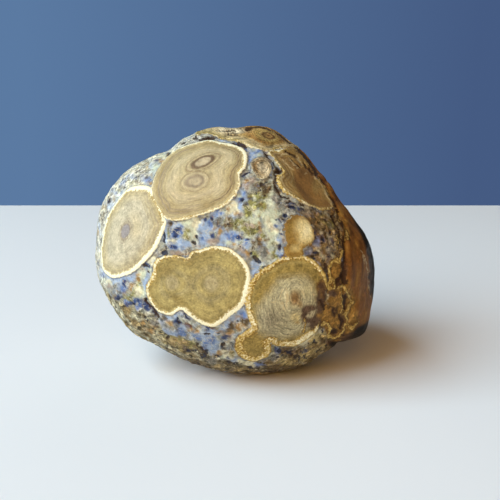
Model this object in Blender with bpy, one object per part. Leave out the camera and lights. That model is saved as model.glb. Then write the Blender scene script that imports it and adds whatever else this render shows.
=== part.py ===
"""An agate pebble: one natural stone, a hand-sized lump of orbicular agate.

The stone is modelled in one piece. Its outline is the one it shows when its orbs face
the eye and the eye is a little above it. In front of that outline the stone swells into
a broad worn dome, and behind it into a rounder back in its old rind. Worn flats, creases
and hollows are then let into that form, and the underside is worn flat where it rests.

Sizes are in millimetres in the tables below and become metres in the mesh.
The frame: +X to the right, +Y away from the eye, +Z up, the origin on the resting plane
under the middle of the stone.
"""

from math import atan2, cos, pi, radians, sin

import bmesh
import bpy
import numpy as np
from mathutils import Vector, noise

MM = 0.001

# The eye looks down on the stone by this much. The outline lies square to that line.
SIGHT_DOWN = radians(14)
RIGHT = np.array([1.0, 0.0, 0.0])
RISE = np.array([0.0, sin(SIGHT_DOWN), cos(SIGHT_DOWN)])
NEAR = np.array([0.0, -cos(SIGHT_DOWN), sin(SIGHT_DOWN)])

# The outline: (right, rise) from the middle of the stone, anticlockwise from the right.
OUTLINE = [
    # right shoulder, up to the top
    (31.6, -5.4), (31.1, -1.6), (29.4, 2.0), (26.9, 6.2), (24.4, 9.8), (23.1, 10.9),
    (21.8, 12.9), (19.9, 15.7), (17.7, 18.3), (15.2, 21.5), (13.6, 23.2), (10.9, 25.3),
    # two low knobs on the top with a saddle between them
    (8.1, 27.3), (4.9, 28.2), (2.4, 27.9), (-0.2, 27.3), (-4.0, 27.8), (-7.3, 27.0),
    # left shoulder, with a small step
    (-10.6, 25.4), (-12.8, 24.3), (-15.2, 22.0), (-17.6, 21.7), (-19.7, 20.3),
    (-23.2, 18.6), (-26.2, 16.1), (-29.1, 12.6), (-30.8, 8.8), (-31.4, 3.6),
    # left end, and the long slope under it
    (-31.8, -1.3), (-30.6, -6.5), (-28.4, -10.2), (-25.8, -14.3), (-23.2, -17.5),
    (-17.8, -20.7), (-11.4, -24.4), (-5.8, -25.9), (0.4, -26.6), (6.2, -27.0),
    # lower right, with the step where the back lobe shows past the front one
    (11.6, -26.4), (16.3, -25.0), (20.1, -22.5), (23.0, -20.4), (24.9, -20.0),
    (27.9, -19.0), (29.1, -17.8), (30.1, -14.2), (31.1, -10.4),
]
OUTLINE_TRIM = 0.985  # the widest section lies a little inside the outline the eye sees
PLAIN_SPAN = radians(15)  # the outline is evened out over this angle away from its plane
PLAIN_SAMPLES = 9
STEPS_AT, STEPS_SPREAD = 0.15, 0.34  # where in depth the outline's small steps show, as sines

# How far the stone swells in front of and behind the outline, and how squarely.
FRONT_SWELL, FRONT_SQUARE = 21.5, 2.35
BACK_SWELL, BACK_SQUARE = 23.0, 2.25

# Worn flats: (right, rise, near) of the way each one faces, its distance from the middle,
# how softly it runs out, and how nearly flat it is (1 is quite flat).
FLATS = [
    ((-0.10, 0.12, 1.0), 20.2, 1.2, 0.70),     # the show face
    ((-0.72, 0.20, 0.70), 25.8, 1.4, 0.70),    # left cheek
    ((0.90, -0.10, 0.44), 28.3, 0.6, 0.90),    # right side, in rind
    ((0.60, 0.50, 0.62), 23.6, 0.8, 0.75),     # right shoulder
    ((0.05, 0.76, 0.66), 25.0, 0.9, 0.65),     # top, above the face
    ((-0.42, -0.66, 0.62), 25.4, 1.2, 0.80),   # rough slope under the left end
    ((0.40, -0.62, 0.70), 24.6, 1.2, 0.60),    # lower front
    ((-0.25, 0.35, -1.0), 21.8, 1.2, 0.80),    # back
    ((0.75, 0.25, -0.85), 24.6, 0.8, 0.85),    # back right
    ((-0.80, -0.15, -0.75), 25.4, 1.2, 0.80),  # back left
    ((0.20, -0.70, -0.95), 23.8, 1.0, 0.85),   # back, low
]

# Creases on the near side: points (right, rise), then width and depth.
CREASES = [
    ([(6.9, 22.2), (8.9, 19.8), (10.4, 17.4), (12.3, 14.3), (15.6, 10.6)], 1.7, 0.7),
    ([(-7.6, 25.2), (-3.2, 25.2), (2.2, 24.0), (6.2, 22.8)], 1.6, 0.35),
    ([(24.3, 6.6), (24.4, 1.0), (24.2, -5.0), (23.6, -10.4)], 1.6, 0.6),
    ([(19.0, -16.0), (21.6, -18.2), (23.6, -19.4)], 2.0, 0.35),
]

# Hollows and lumps: (right, rise, near) of the way out to each one from the middle,
# then width and depth. A negative depth is a lump.
HOLLOWS = [
    ((0.75, 0.20, -0.55), 8.0, 0.9),
    ((-0.10, 0.60, -0.80), 9.0, 0.9),
    ((-0.70, 0.10, -0.65), 8.0, 0.7),
    ((0.15, -0.25, -0.95), 10.0, 1.0),
    ((0.86, -0.02, 0.40), 4.5, -0.5),
    ((0.50, 0.65, -0.55), 6.0, -0.7),
    ((-0.35, -0.30, -0.85), 7.0, -0.7),
]

# The whole skin undulates by this much, over about this length and half of it.
WAVE_HEIGHT, WAVE_LENGTH, WAVE_OCTAVES = 0.42, 10.0, 2
WAVE_START = Vector((4.7, 4.7, 4.7))  # where in the noise the waves are taken from

BASE_CUT = 1.3  # how much of the rounded underside is worn off where the stone rests
GRID = 27  # faces along each edge of the cube that is rounded into the stone


def spline_radius(points):
    """A function of angle that gives the radius of the closed outline through points."""
    at = sorted((atan2(rise, right), (right**2 + rise**2) ** 0.5) for right, rise in points)
    angles = np.array([a for a, _ in at])
    radii = np.array([r for _, r in at])
    angles = np.concatenate([angles[-2:] - 2 * pi, angles, angles[:2] + 2 * pi])
    radii = np.concatenate([radii[-2:], radii, radii[:2]])
    slopes = np.gradient(radii, angles)

    def radius(angle):
        i = np.clip(np.searchsorted(angles, angle) - 1, 0, len(angles) - 2)
        span = angles[i + 1] - angles[i]
        t = (angle - angles[i]) / span
        start = (2 * t**3 - 3 * t**2 + 1) * radii[i] + (t**3 - 2 * t**2 + t) * span * slopes[i]
        end = (3 * t**2 - 2 * t**3) * radii[i + 1] + (t**3 - t**2) * span * slopes[i + 1]
        return start + end

    return radius


def rounded(angle):
    """angle brought into -pi to pi."""
    return (angle + pi) % (2 * pi) - pi


def swollen(directions):
    """Points of the plain rounded stone in these directions, as (right, rise, near)."""
    outline = spline_radius(OUTLINE_TRIM * np.array(OUTLINE))
    right, rise, near = directions.T
    angle = np.arctan2(rise, right)
    sideways = np.hypot(right, rise)
    spread = np.linspace(-PLAIN_SPAN, PLAIN_SPAN, PLAIN_SAMPLES)
    plain = np.mean([outline(rounded(angle + turn)) for turn in spread], axis=0)
    steps_left = np.exp(-(((near - STEPS_AT) / STEPS_SPREAD) ** 2))
    radius = plain + (outline(angle) - plain) * steps_left
    swell = np.where(near > 0, FRONT_SWELL, BACK_SWELL)
    square = np.where(near > 0, FRONT_SQUARE, BACK_SQUARE)
    reach = (sideways / radius) ** square + (np.abs(near) / swell) ** square
    return directions * (reach ** (-1 / square))[:, None]


def worn(points):
    """Presses each of FLATS into the form, each with a soft edge."""
    for facing, distance, soft, flatness in FLATS:
        facing = np.array(facing) / np.linalg.norm(facing)
        past = points @ facing - distance
        pressed = soft * np.logaddexp(0, past / soft)
        points = points - np.outer(pressed * flatness, facing)
    return points


def on_near_side(points, marks):
    """The points of the near side that lie nearest to marks, seen square-on."""
    near = points[points[:, 2] > 0]
    return [near[np.argmin(np.hypot(*(near[:, :2] - mark).T))] for mark in marks]


def distance_to_line(points, line):
    """How far each point is from the broken line through line's points."""
    nearest = np.full(len(points), np.inf)
    for start, end in zip(line, line[1:]):
        along = end - start
        share = np.clip((points - start) @ along / (along @ along), 0, 1)
        apart = np.linalg.norm(points - start - np.outer(share, along), axis=1)
        nearest = np.minimum(nearest, apart)
    return nearest


def creased(points, outwards):
    """Lets CREASES and HOLLOWS into the form."""
    sunk = np.zeros(len(points))
    for marks, width, depth in CREASES:
        line = on_near_side(points, marks)
        sunk += depth * np.exp(-((distance_to_line(points, line) / width) ** 2))
    for facing, width, depth in HOLLOWS:
        facing = np.array(facing) / np.linalg.norm(facing)
        middle = points[np.argmax(outwards @ facing)]
        apart = np.linalg.norm(points - middle, axis=1)
        sunk += depth * np.exp(-((apart / width) ** 2))
    return points - outwards * sunk[:, None]


def undulated(points, outwards):
    """Gives the skin its slow, shallow waves."""
    places = [Vector(point) / WAVE_LENGTH + WAVE_START for point in points]
    waves = [noise.fractal(place, 1.0, 2.0, WAVE_OCTAVES) for place in places]
    return points + outwards * (WAVE_HEIGHT * np.array(waves))[:, None]


def rested(points):
    """Stands the stone on its worn base, with the origin under its middle."""
    points = points - [0, 0, points[:, 2].min() + BASE_CUT]
    points[:, 2] = np.maximum(points[:, 2], 0)
    middle = (points.min(0) + points.max(0)) / 2
    return points - [middle[0], middle[1], 0]


def stone_points(directions):
    """The finished skin in these unit directions, in the frame and in millimetres."""
    points = creased(worn(swollen(directions)), directions)
    points = undulated(points, directions)
    return rested(points @ np.array([RIGHT, RISE, NEAR]))


def cube_ball(grid):
    """A bmesh ball made from a gridded cube, so that its faces are all about one size."""
    ball = bmesh.new()
    bmesh.ops.create_cube(ball, size=2)
    bmesh.ops.subdivide_edges(ball, edges=ball.edges[:], cuts=grid - 1, use_grid_fill=True)
    for vertex in ball.verts:
        evened = [np.tan(c * pi / 4) for c in vertex.co]
        vertex.co = Vector(evened).normalized()
    return ball


def stone_material():
    """Polished orbicular agate, as one plain finish."""
    material = bpy.data.materials.new("orbicular_agate")
    material.use_nodes = True
    shader = material.node_tree.nodes["Principled BSDF"]
    shader.inputs["Base Color"].default_value = (0.36, 0.28, 0.14, 1)
    shader.inputs["Roughness"].default_value = 0.42
    shader.inputs["Metallic"].default_value = 0
    return material


def make_pebble(collection):
    """The stone as one closed mesh."""
    ball = cube_ball(GRID)
    points = stone_points(np.array([vertex.co for vertex in ball.verts]))
    for vertex, point in zip(ball.verts, points):
        vertex.co = Vector(point) * MM
    mesh = bpy.data.meshes.new("pebble")
    ball.to_mesh(mesh)
    ball.free()
    mesh.shade_smooth()
    mesh.materials.append(stone_material())
    collection.objects.link(bpy.data.objects.new("pebble", mesh))


for startup_object in list(bpy.data.objects):
    bpy.data.objects.remove(startup_object)
agate_pebble = bpy.data.collections.new("agate_pebble")
bpy.context.scene.collection.children.link(agate_pebble)
make_pebble(agate_pebble)
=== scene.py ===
"""An agate pebble in a plain studio.

The stone is one piece. Its skin is laid on the solid of the same stone, smoothed, and given
its low relief. Every vertex then learns where it lies in the stone's pattern: how far inside
an orb, on which of the orb's rings, in which patch of the ground between the orbs, and how
deep in the rind. The material reads those fields and adds what is finer than the mesh.
"""

from math import cos, pi, radians, sin, tan

import bmesh
import bpy
import numpy as np
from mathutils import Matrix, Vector, noise
from mathutils.bvhtree import BVHTree


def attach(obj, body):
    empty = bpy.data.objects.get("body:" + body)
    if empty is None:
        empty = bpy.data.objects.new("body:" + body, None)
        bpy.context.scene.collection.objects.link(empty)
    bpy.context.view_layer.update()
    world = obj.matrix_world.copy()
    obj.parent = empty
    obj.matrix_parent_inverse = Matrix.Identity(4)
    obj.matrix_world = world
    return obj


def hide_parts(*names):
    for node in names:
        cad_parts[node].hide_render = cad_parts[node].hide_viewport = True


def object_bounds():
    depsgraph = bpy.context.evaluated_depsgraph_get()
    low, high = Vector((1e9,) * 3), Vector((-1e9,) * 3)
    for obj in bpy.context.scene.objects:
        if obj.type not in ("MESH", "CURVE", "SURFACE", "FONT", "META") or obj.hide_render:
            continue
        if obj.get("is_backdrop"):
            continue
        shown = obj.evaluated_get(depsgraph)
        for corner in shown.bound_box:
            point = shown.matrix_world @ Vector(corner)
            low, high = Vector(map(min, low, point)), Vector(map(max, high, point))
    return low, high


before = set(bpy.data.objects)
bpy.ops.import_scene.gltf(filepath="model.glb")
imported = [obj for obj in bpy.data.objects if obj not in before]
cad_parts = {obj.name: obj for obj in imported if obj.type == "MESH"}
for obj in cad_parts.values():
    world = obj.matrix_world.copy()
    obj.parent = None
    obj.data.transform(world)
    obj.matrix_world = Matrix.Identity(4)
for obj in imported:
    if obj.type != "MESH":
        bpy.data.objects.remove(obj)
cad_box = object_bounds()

# ---------------------------------------------------------------------------------------
# The eye
# The stone is looked at from a little above, square to its widest outline. Places on the
# show side are given in millimetres on the plane of that outline, as (right, rise).
# ---------------------------------------------------------------------------------------

MM = 0.001
MIDDLE = np.array([0.1, -0.1, 25.5])  # the middle of the outline
LOOK_DOWN = radians(14)
RIGHT = np.array([1.0, 0.0, 0.0])
RISE = np.array([0.0, sin(LOOK_DOWN), cos(LOOK_DOWN)])
NEAR = np.array([0.0, -cos(LOOK_DOWN), sin(LOOK_DOWN)])
EYE_AWAY, EYE_ASIDE, EYE_ABOVE = 154.3, 3.1, 0.4
eye = MIDDLE + EYE_AWAY * NEAR + EYE_ASIDE * RIGHT + EYE_ABOVE * RISE

camera_data = bpy.data.cameras.new("camera")
camera_data.lens = 50
camera_data.sensor_width = 36
camera_data.clip_start = 0.01
camera = bpy.data.objects.new("camera", camera_data)
camera.location = Vector(eye) * MM
camera.rotation_euler = (pi / 2 - LOOK_DOWN, 0, 0)
bpy.context.scene.collection.objects.link(camera)
bpy.context.scene.camera = camera

# ---------------------------------------------------------------------------------------
# The skin
# A fine ball of square faces is cast outwards onto the solid and smoothed. The faces lie
# closest together on the show side, which has the finest pattern.
# ---------------------------------------------------------------------------------------

SKIN_GRID = 128  # faces along each edge of the cube that becomes the ball
SHOW_LEAN = 0.28  # how strongly the faces are gathered on the show side
SKIN_SMOOTHING = 24


def gathered_ball(grid, lean):
    """A ball made from a gridded cube, with its faces gathered towards the eye."""
    ball = bmesh.new()
    bmesh.ops.create_cube(ball, size=2)
    bmesh.ops.subdivide_edges(ball, edges=ball.edges[:], cuts=grid - 1, use_grid_fill=True)
    for vertex in ball.verts:
        evened = Vector([tan(c * pi / 4) for c in vertex.co]).normalized()
        vertex.co = (evened + lean * Vector(NEAR)).normalized()
    return ball


def mesh_tree(mesh):
    """A tree of the mesh's faces for casting rays at, in metres."""
    shape = bmesh.new()
    shape.from_mesh(mesh)
    tree = BVHTree.FromBMesh(shape)
    shape.free()
    return tree


solid = mesh_tree(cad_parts["pebble"].data)
skin = gathered_ball(SKIN_GRID, SHOW_LEAN)
for vertex in skin.verts:
    vertex.co = solid.ray_cast(Vector(MIDDLE) * MM, vertex.co)[0]
for _ in range(SKIN_SMOOTHING):
    bmesh.ops.smooth_vert(
        skin, verts=skin.verts[:], factor=0.5, use_axis_x=True, use_axis_y=True, use_axis_z=True
    )
skin.normal_update()
skin_tree = BVHTree.FromBMesh(skin)

points = np.array([vertex.co for vertex in skin.verts]) / MM
outwards = np.array([vertex.normal for vertex in skin.verts])
to_eye = eye - points
depth = to_eye @ NEAR
to_eye /= np.linalg.norm(to_eye, axis=1)[:, None]
facing = np.sum(outwards * to_eye, axis=1)
nearness = (points - MIDDLE) @ NEAR
seen_right = EYE_ASIDE + (points - eye) @ RIGHT * EYE_AWAY / depth
seen_rise = EYE_ABOVE + (points - eye) @ RISE * EYE_AWAY / depth
seen = np.stack([seen_right, seen_rise], axis=1)


def on_skin(place):
    """The point of the skin at a seen (right, rise) place, or out along a (right, rise, near) way."""
    if len(place) == 3:
        way = np.array([RIGHT, RISE, NEAR]).T @ np.array(place)
        return np.array(skin_tree.ray_cast(Vector(MIDDLE) * MM, Vector(way))[0]) / MM
    aim = MIDDLE + place[0] * RIGHT + place[1] * RISE
    hit = skin_tree.ray_cast(Vector(eye) * MM, Vector(aim - eye))[0]
    if hit is None:
        hit = skin_tree.find_nearest(Vector(aim) * MM)[0]
    return np.array(hit) / MM


def waves(size, start=0.0, octaves=1, grain=(1, 1, 1)):
    """A smooth random field over the skin, about -1 to 1, with features of this size.

    grain stretches them along right, rise and near.
    """
    along = points @ np.array([RIGHT, RISE, NEAR]).T / (size * np.array(grain)) + start
    return np.array([noise.fractal(Vector(p), 1.0, 2.0, octaves) for p in along])


def ease(value, low, high):
    """0 where value is below low, 1 above high, and smooth between. It also runs backwards."""
    share = np.clip((value - low) / (high - low), 0, 1)
    return share * share * (3 - 2 * share)


def line_distance(places, line, closed=False):
    """How far each place is from a broken line."""
    nearest = np.full(len(places), np.inf)
    ends = np.roll(line, -1, axis=0) if closed else line[1:]
    for start, end in zip(line, ends):
        along = end - start
        share = np.clip((places - start) @ along / (along @ along), 0, 1)
        apart = np.linalg.norm(places - start - np.outer(share, along), axis=1)
        nearest = np.minimum(nearest, apart)
    return nearest


def edge_distance(places, outline):
    """How far each place is from a closed outline: negative inside it."""
    inside = np.zeros(len(places), bool)
    for start, end in zip(outline, np.roll(outline, -1, axis=0)):
        passes = (start[1] > places[:, 1]) != (end[1] > places[:, 1])
        climb = end[1] - start[1] if abs(end[1] - start[1]) > 1e-9 else 1e-9
        crossing = start[0] + (places[:, 1] - start[1]) * (end[0] - start[0]) / climb
        inside ^= passes & (places[:, 0] < crossing)
    return np.where(inside, -1, 1) * line_distance(places, outline, closed=True)


# ---------------------------------------------------------------------------------------
# The ground between the orbs
# Pale blue chalcedony, cream and green grains, iron stains and dark specks, in patches that
# each have their place. A patch is an oval: (right, rise, half length, half width, turn in
# degrees), where a level one leaves out its turn and a round one its half width as well. On
# the far side, where no place is set, the same kinds are scattered.
# ---------------------------------------------------------------------------------------

GROUND_KINDS = {  # colour, how gritty, softness of the edge, share of the scattered patches
    "moss": ((0.245, 0.225, 0.085), 0.7, 0.9, 0.03),
    "milk": ((0.58, 0.61, 0.45), 0.3, 0.8, 0.03),
    "pale_blue": ((0.30, 0.395, 0.54), 0.2, 0.35, 0.26),
    "mint": ((0.57, 0.61, 0.43), 0.3, 0.45, 0.05),
    "cream": ((0.68, 0.64, 0.43), 0.3, 0.28, 0.12),
    "green": ((0.235, 0.225, 0.075), 0.8, 0.4, 0.09),
    "tan": ((0.33, 0.245, 0.105), 0.8, 0.35, 0.05),
    "gold": ((0.42, 0.33, 0.135), 0.7, 0.7, 0.0),
    "grey": ((0.21, 0.21, 0.18), 0.8, 0.4, 0.08),
    "pink": ((0.33, 0.265, 0.205), 0.4, 0.35, 0.07),
    "brown": ((0.12, 0.082, 0.04), 0.7, 0.3, 0.08),
    "rust": ((0.33, 0.205, 0.075), 0.4, 0.28, 0.06),
    "red": ((0.11, 0.045, 0.025), 0.3, 0.2, 0.01),
    "blue": ((0.115, 0.19, 0.38), 0.25, 0.28, 0.07),
    "deep_blue": ((0.032, 0.052, 0.13), 0.2, 0.22, 0.04),
}
PATCHES = {
    "moss": [
        (-13.3, -19.1, 2.7, 1.1, -12), (3.1, 10.7, 2.4, 2.9), (3.1, 6, 3.1, 1.6), (5.8, 14, 1.8, 2),
        (0.9, 5.8, 1.8, 1.3), (-10.7, 3.6, 1.3), (-23.6, -10.7, 1.8, 1.1, 10),
        (-11.1, -20.4, 3.1, 1.1, -10),
    ],
    "milk": [
        (7.8, 6.7, 1.6, 5.8, 8), (9.1, 1.6, 1.1, 2.7), (4.7, 7.6, 2, 1.1, -10),
        (7.1, 11.6, 1.1, 1.8), (-9.6, 5.8, 1.1, 2.7), (-21.3, -8, 1.3, 2.2),
        (-27.6, -6.4, 1.6, 1.3), (-25.3, 12.4, 0.9, 1.3, -30),
    ],
    "pale_blue": [
        (-5.2, -21.6, 1.2, 1.3), (-5.3, -20.4, 1.4, 2), (-16, 4.7, 0.7, 2.7, 15),
        (4.4, -3.6, 1.1, 1.6), (1.3, -13.1, 0.9, 1.1), (-30.4, 5.3, 0.4, 2, 10),
        (-6.9, 5.6, 2, 1.6), (-11.8, 1.8, 2, 1.1), (-1.6, 3.1, 2.4, 1.3, 5), (-7.1, 2.9, 1.6, 1.1),
        (-3.1, 1.8, 1.3, 0.7), (-3.8, 8.2, 1.1, 0.7), (1.6, 12.7, 0.7, 2, 10),
        (3.1, 21.3, 0.6, 1.8, 5), (4.4, 21.8, 1.3, 0.9, 20), (5.3, 20.9, 1.8, 0.7, -45),
        (9.6, 2.4, 0.7, 1.1), (9.6, 0.2, 0.7, 1.1), (0.9, 10, 0.7, 1.6), (7.3, 19.1, 0.7, 1.3, -35),
        (2.4, 1.8, 0.9, 1.1), (7.6, 17.8, 0.3, 1.3), (-13.1, 5.8, 1.3, 0.9),
        (-28.9, -5.3, 1.1, 1.6), (-27.1, -6.4, 2, 1.1, -30), (-24, -5.6, 2, 0.9, 15),
        (-19.8, -6.2, 0.4, 1.1), (-20.4, -7.3, 0.7, 1.3), (-13.6, -17.3, 2.7, 1.3, -5),
        (-16.2, -15.8, 1.3, 0.7, -30), (-10.2, -18.7, 1.6, 0.7), (-5.1, -17.8, 1.6, 1.1),
        (-1.6, -16.7, 2, 0.9, 15), (0.2, -14.7, 1.6, 0.7, 30), (1.6, -13.6, 0.9, 1.3),
        (-14.9, -14.7, 1.3, 0.7, -10), (-13.3, -14.2, 0.7, 0.9), (-0.4, -24.2, 0.7, 0.4),
        (-30.2, -4.4, 0.4, 1.3, -10), (-25.6, 12.7, 0.6, 1.1, -20), (-26.2, 11.6, 0.7, 1.1, -35),
        (-19.1, 17.8, 1.1, 0.4), (-18.7, 19.1, 0.7, 0.8), (-20.4, 15.6, 1.3, 0.4, 5),
        (-27.3, 13.3, 0.4, 1.3, 30), (-28, 10.4, 0.7, 1.1), (-25.1, 15.8, 1.3, 0.4, 45),
        (-23.3, 16.9, 1.1, 0.4, 40), (-17.1, 17.8, 0.7), (16, 0, 1.1, 0.9), (16.2, 0.8, 0.7, 0.4),
        (17.7, 1.8, 0.8, 0.6), (-7.1, -19.1, 0.4, 2.7, 5),
    ],
    "mint": [
        (7.3, 7.6, 1.1, 2), (8, 4.7, 1.1, 1.6), (6.4, 8.2, 1.1, 0.9), (7.6, 2.7, 1.1, 0.9),
        (7.6, 1.3, 0.9), (4.2, 7.1, 2, 0.7), (8.9, 8.7, 0.9, 0.7), (4.7, 8.7, 0.7, 0.9, 20),
        (-9.3, 4.2, 0.7, 1.8), (-10.9, 6.4, 1.6, 0.7), (-10, 4, 0.6, 0.7), (2.7, 3.6, 1.1, 0.6, 20),
        (0.9, 2.2, 0.7, 0.4), (8.2, 11.1, 0.4, 0.7), (8.1, 14.4, 0.3, 0.7), (8, 12.7, 0.4, 0.7),
        (8, 0, 0.6, 1.1, -20), (0.7, 12, 0.7), (5.1, 21.6, 0.4, 0.7, 30), (-1.6, 2, 0.7, 0.3),
        (10.4, 9.3, 1.1, 0.9, 30), (0.9, 5.1, 1.1, 0.4, -20), (-20.9, -4.7, 0.9, 1.1),
        (-21.3, -8.7, 0.9, 1.1), (-19.1, -3.6, 0.7, 0.9), (-2.9, -23.3, 0.7, 0.4),
        (-29.6, -6, 0.7, 1.1), (-26, 12.4, 0.4, 0.7), (-17.8, 18.7, 0.9), (-16.9, 21.2, 1.1, 0.3),
        (-16.2, 21.7, 1.1, 0.3), (-19.8, 20, 0.7, 0.4), (-18, 18, 0.9, 0.4), (20.4, 8.2, 0.4),
        (21.4, -0.9, 0.4, 0.7), (18.9, -0.9, 0.3, 0.4), (14.4, 0.4, 0.7, 0.9),
    ],
    "cream": [
        (-21.7, -6.7, 0.7, 0.8), (-21.9, -8.7, 1.1, 1, 20), (-22.7, -9.8, 0.7, 0.5),
        (16.4, -18.9, 2, 0.7, 36), (15.1, -20.2, 1, 0.9), (18.2, -17.6, 0.9, 0.5, 35),
        (9.3, -20.2, 2, 0.5, -6), (13.6, -20.9, 0.7, 0.4, 20), (-1.1, 10.2, 1.3), (0, 9.1, 0.9),
        (-1.6, 8.9, 0.7), (-14.2, 2.4, 0.7, 0.3), (8.9, 4.9, 0.4, 0.7, -30),
        (4.2, 12, 0.3, 0.7, 25), (-8.9, 6.4, 0.9, 1.1), (-8.9, 5.1, 0.4, 1.1),
        (6.7, 22.7, 1.1, 0.2), (2.7, 22.2, 0.3, 0.9), (7.8, 5.8, 0.7, 0.9), (6.9, 7.3, 0.4, 0.9),
        (-28.2, -6.7, 0.7, 0.5), (-29.1, -4, 0.4, 1.3, 15), (-22.4, -10.9, 0.7, 0.5),
        (-3.1, -22.4, 1.1, 0.4, 10), (-1.6, -23.1, 1.1, 0.7), (3.1, -24.9, 1.6, 0.6),
        (0.9, -24.4, 0.9, 0.4), (-18.7, -2.2, 1.1, 0.7, 35), (-21.6, 19.3, 0.9, 0.4, 30),
        (-22.7, 17.6, 0.4), (-23.6, 15.1, 0.9, 0.4, 20), (-24, 13.8, 0.7), (-26.4, 14.4, 0.4, 0.7),
        (-21.8, 14.9, 2, 0.4), (-18, 21, 0.9, 0.2, 5), (-15.6, 21.3, 1.3, 0.4, 10),
        (-17.3, 21.8, 0.5, 0.2), (-14.2, 22.2, 0.7, 0.4), (19.6, 8.7, 0.4, 0.6, -40),
        (21.3, 3.3, 0.5, 0.4, -20), (21.1, 1.9, 0.4, 0.3), (19, 4, 0.3, 0.6, 20),
        (20.4, 3.6, 0.2, 0.5), (19.6, -1.1, 0.3, 0.7), (18, 0.3, 0.4, 0.3),
        (22.7, 0.4, 0.3, 0.6, -15), (15.6, 9.6, 0.7, 0.4), (20.6, 7.7, 0.6, 0.4, -30),
        (22.4, 5.8, 0.2, 0.5), (14.2, -21.4, 0.2, 1), (14.9, -24.7, 0.9, 0.3, -20),
    ],
    "green": [
        (4.3, -0.7, 1.1), (-1.8, 6.4, 1.3, 1, 10), (5.3, 13.1, 1.3), (-22.8, -9.1, 0.4, 0.9, -20),
        (-21.1, -8, 0.3, 0.7), (8.9, -21.6, 1.1, 0.6), (5.8, -4, 0.9), (-10.7, 4.7, 0.6, 0.4),
        (-11.1, 3.8, 0.4, 0.9), (-10.7, 3, 0.7, 0.3, -30), (0.4, 6.4, 1.1, 0.7),
        (1.6, 5.3, 1.1, 0.7, -20), (-0.2, 5.6, 1.3, 0.9, -30), (3.3, 10, 1.3), (2.7, 8.4, 1.3, 0.9),
        (6, 10.2, 0.8, 1.1), (5.3, 8.4, 0.3, 0.7), (4.7, 11.1, 1.1, 0.9), (3.6, 4.4, 1.8, 0.7, 10),
        (8.7, -1.1, 0.7), (8.4, 0.4, 0.4, 0.7), (5.8, 3.6, 0.9, 0.7), (6.2, 12.4, 1.1, 0.7),
        (-15.1, 4.2, 0.3, 0.9), (8.7, 1.6, 0.7), (-21.6, -7.3, 0.7), (-21.8, -6.4, 0.4, 0.7),
        (-23.3, -10, 1.1, 0.7), (-11.6, -20.2, 2, 0.9, -10), (-14.2, -19.8, 1.6, 0.9),
        (-0.9, -22.2, 0.9, 0.7), (-23.1, 15.6, 0.8, 0.4, 10), (-26.2, 13.6, 0.4, 0.3),
        (-19.8, 18.9, 0.4, 0.9), (-21.8, 18.7, 0.9, 0.3), (-27.1, 12.2, 0.4, 0.7),
        (21.1, 6, 1.2, 0.9), (22.7, 2.7, 0.4, 1), (19.3, 6.2, 0.9, 0.7), (23.1, 3.8, 0.5, 0.4),
        (19.1, 7.8, 0.9, 0.7),
    ],
    "tan": [
        (17.8, -22.2, 1.3, 0.9, 35), (12, -24.2, 1.3, 0.9), (8.4, -25.3, 1.3, 0.4),
        (14.2, -25.1, 0.7, 0.4), (16, -20.9, 0.7, 0.4), (13.6, -20.7, 0.7, 0.4),
        (-14.2, -19.8, 1.6, 0.9), (-11.8, -20.2, 1.3, 0.7), (-0.9, -22.2, 0.9, 0.4),
        (18.7, 5.8, 0.9, 0.7), (19.8, 7.3, 1.1, 0.7), (22.2, 8, 0.4, 0.9), (22.4, 1.3, 0.4, 0.7),
        (19.3, 1.1, 0.7), (20.9, -2.2, 0.7, 0.4), (1.6, -26, 1.3, 0.3), (-3.6, -25.6, 1.8, 0.3, -8),
        (-24.2, -12.9, 0.9, 0.7, -50), (-22.7, -15.6, 0.9, 0.4, -45), (-26.9, -9.8, 0.7, 0.4),
    ],
    "gold": [
        (18.4, -18.9, 2.2, 1.6, 35), (20.4, -20.4, 1.8, 1, 25), (16.9, -21.8, 2, 1.3, 30),
        (14.9, -23.1, 1.6, 1.1, 20), (10.9, -24.4, 3.1, 0.8, 5),
    ],
    "grey": [
        (-14.4, -16.4, 2.2, 1, -18), (-16.2, -14.9, 1.1, 0.7, -35), (-11.6, -18.2, 1.8, 0.9, -20),
        (-6.9, 25.1, 3.1, 0.7, 5), (-10.2, 23.6, 2, 0.7, 30), (-30.7, 2.7, 0.7, 3.6, 85),
        (9.3, 11.8, 1.3), (12, 9.1, 2.7, 1.1, -15), (10.2, 10.9, 1.3, 0.9), (4.2, 14.2, 1.1, 0.9),
        (2.7, 13.3, 0.6, 0.7), (-3.6, 6.7, 0.7, 1.1), (5.8, 0, 1.1, 0.9), (6.2, -0.9, 0.7),
        (10.2, 6.7, 0.4, 0.9), (10.4, 4.9, 0.3, 0.9), (-5.1, 6.7, 0.7, 1.3),
        (8.9, 14.9, 0.7, 1.8, -10), (9.1, 18.2, 0.9, 0.7, -30), (6.9, 20.9, 0.7, 0.7, -30),
        (11.1, 0.9, 0.7, 0.9), (2.4, 16.4, 0.7, 0.4), (5.1, 16, 0.9, 0.4), (-26.9, -7.6, 0.9, 0.7),
        (-26, -8.9, 1.3, 0.4), (-27.6, -8.9, 1.1, 0.4, -30), (-18, -15.6, 1.1, 0.9),
        (-2.4, -18.9, 1.1, 0.5, 10), (-0.7, -20.4, 0.9, 1.3), (-2.2, -18, 0.7),
        (-5.3, -24.2, 1, 0.9), (-22, 16.4, 0.5, 0.9), (-21.3, 17.8, 1.1, 0.4), (-27.6, 12, 0.7),
        (-28.9, 8.4, 0.7, 1.3, 70), (-29.6, 7.1, 0.4, 1.1, 75), (-24, 16.7, 0.9, 0.4, 45),
        (-25.1, 14.2, 0.7, 0.4), (-20.2, 19.3, 0.4, 1.3), (14.9, 9, 1.3, 0.7, -20),
        (16.2, 8.7, 0.7, 0.9), (20.9, 2.7, 0.4, 0.6), (20.7, 0.7, 1.1, 0.9),
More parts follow.
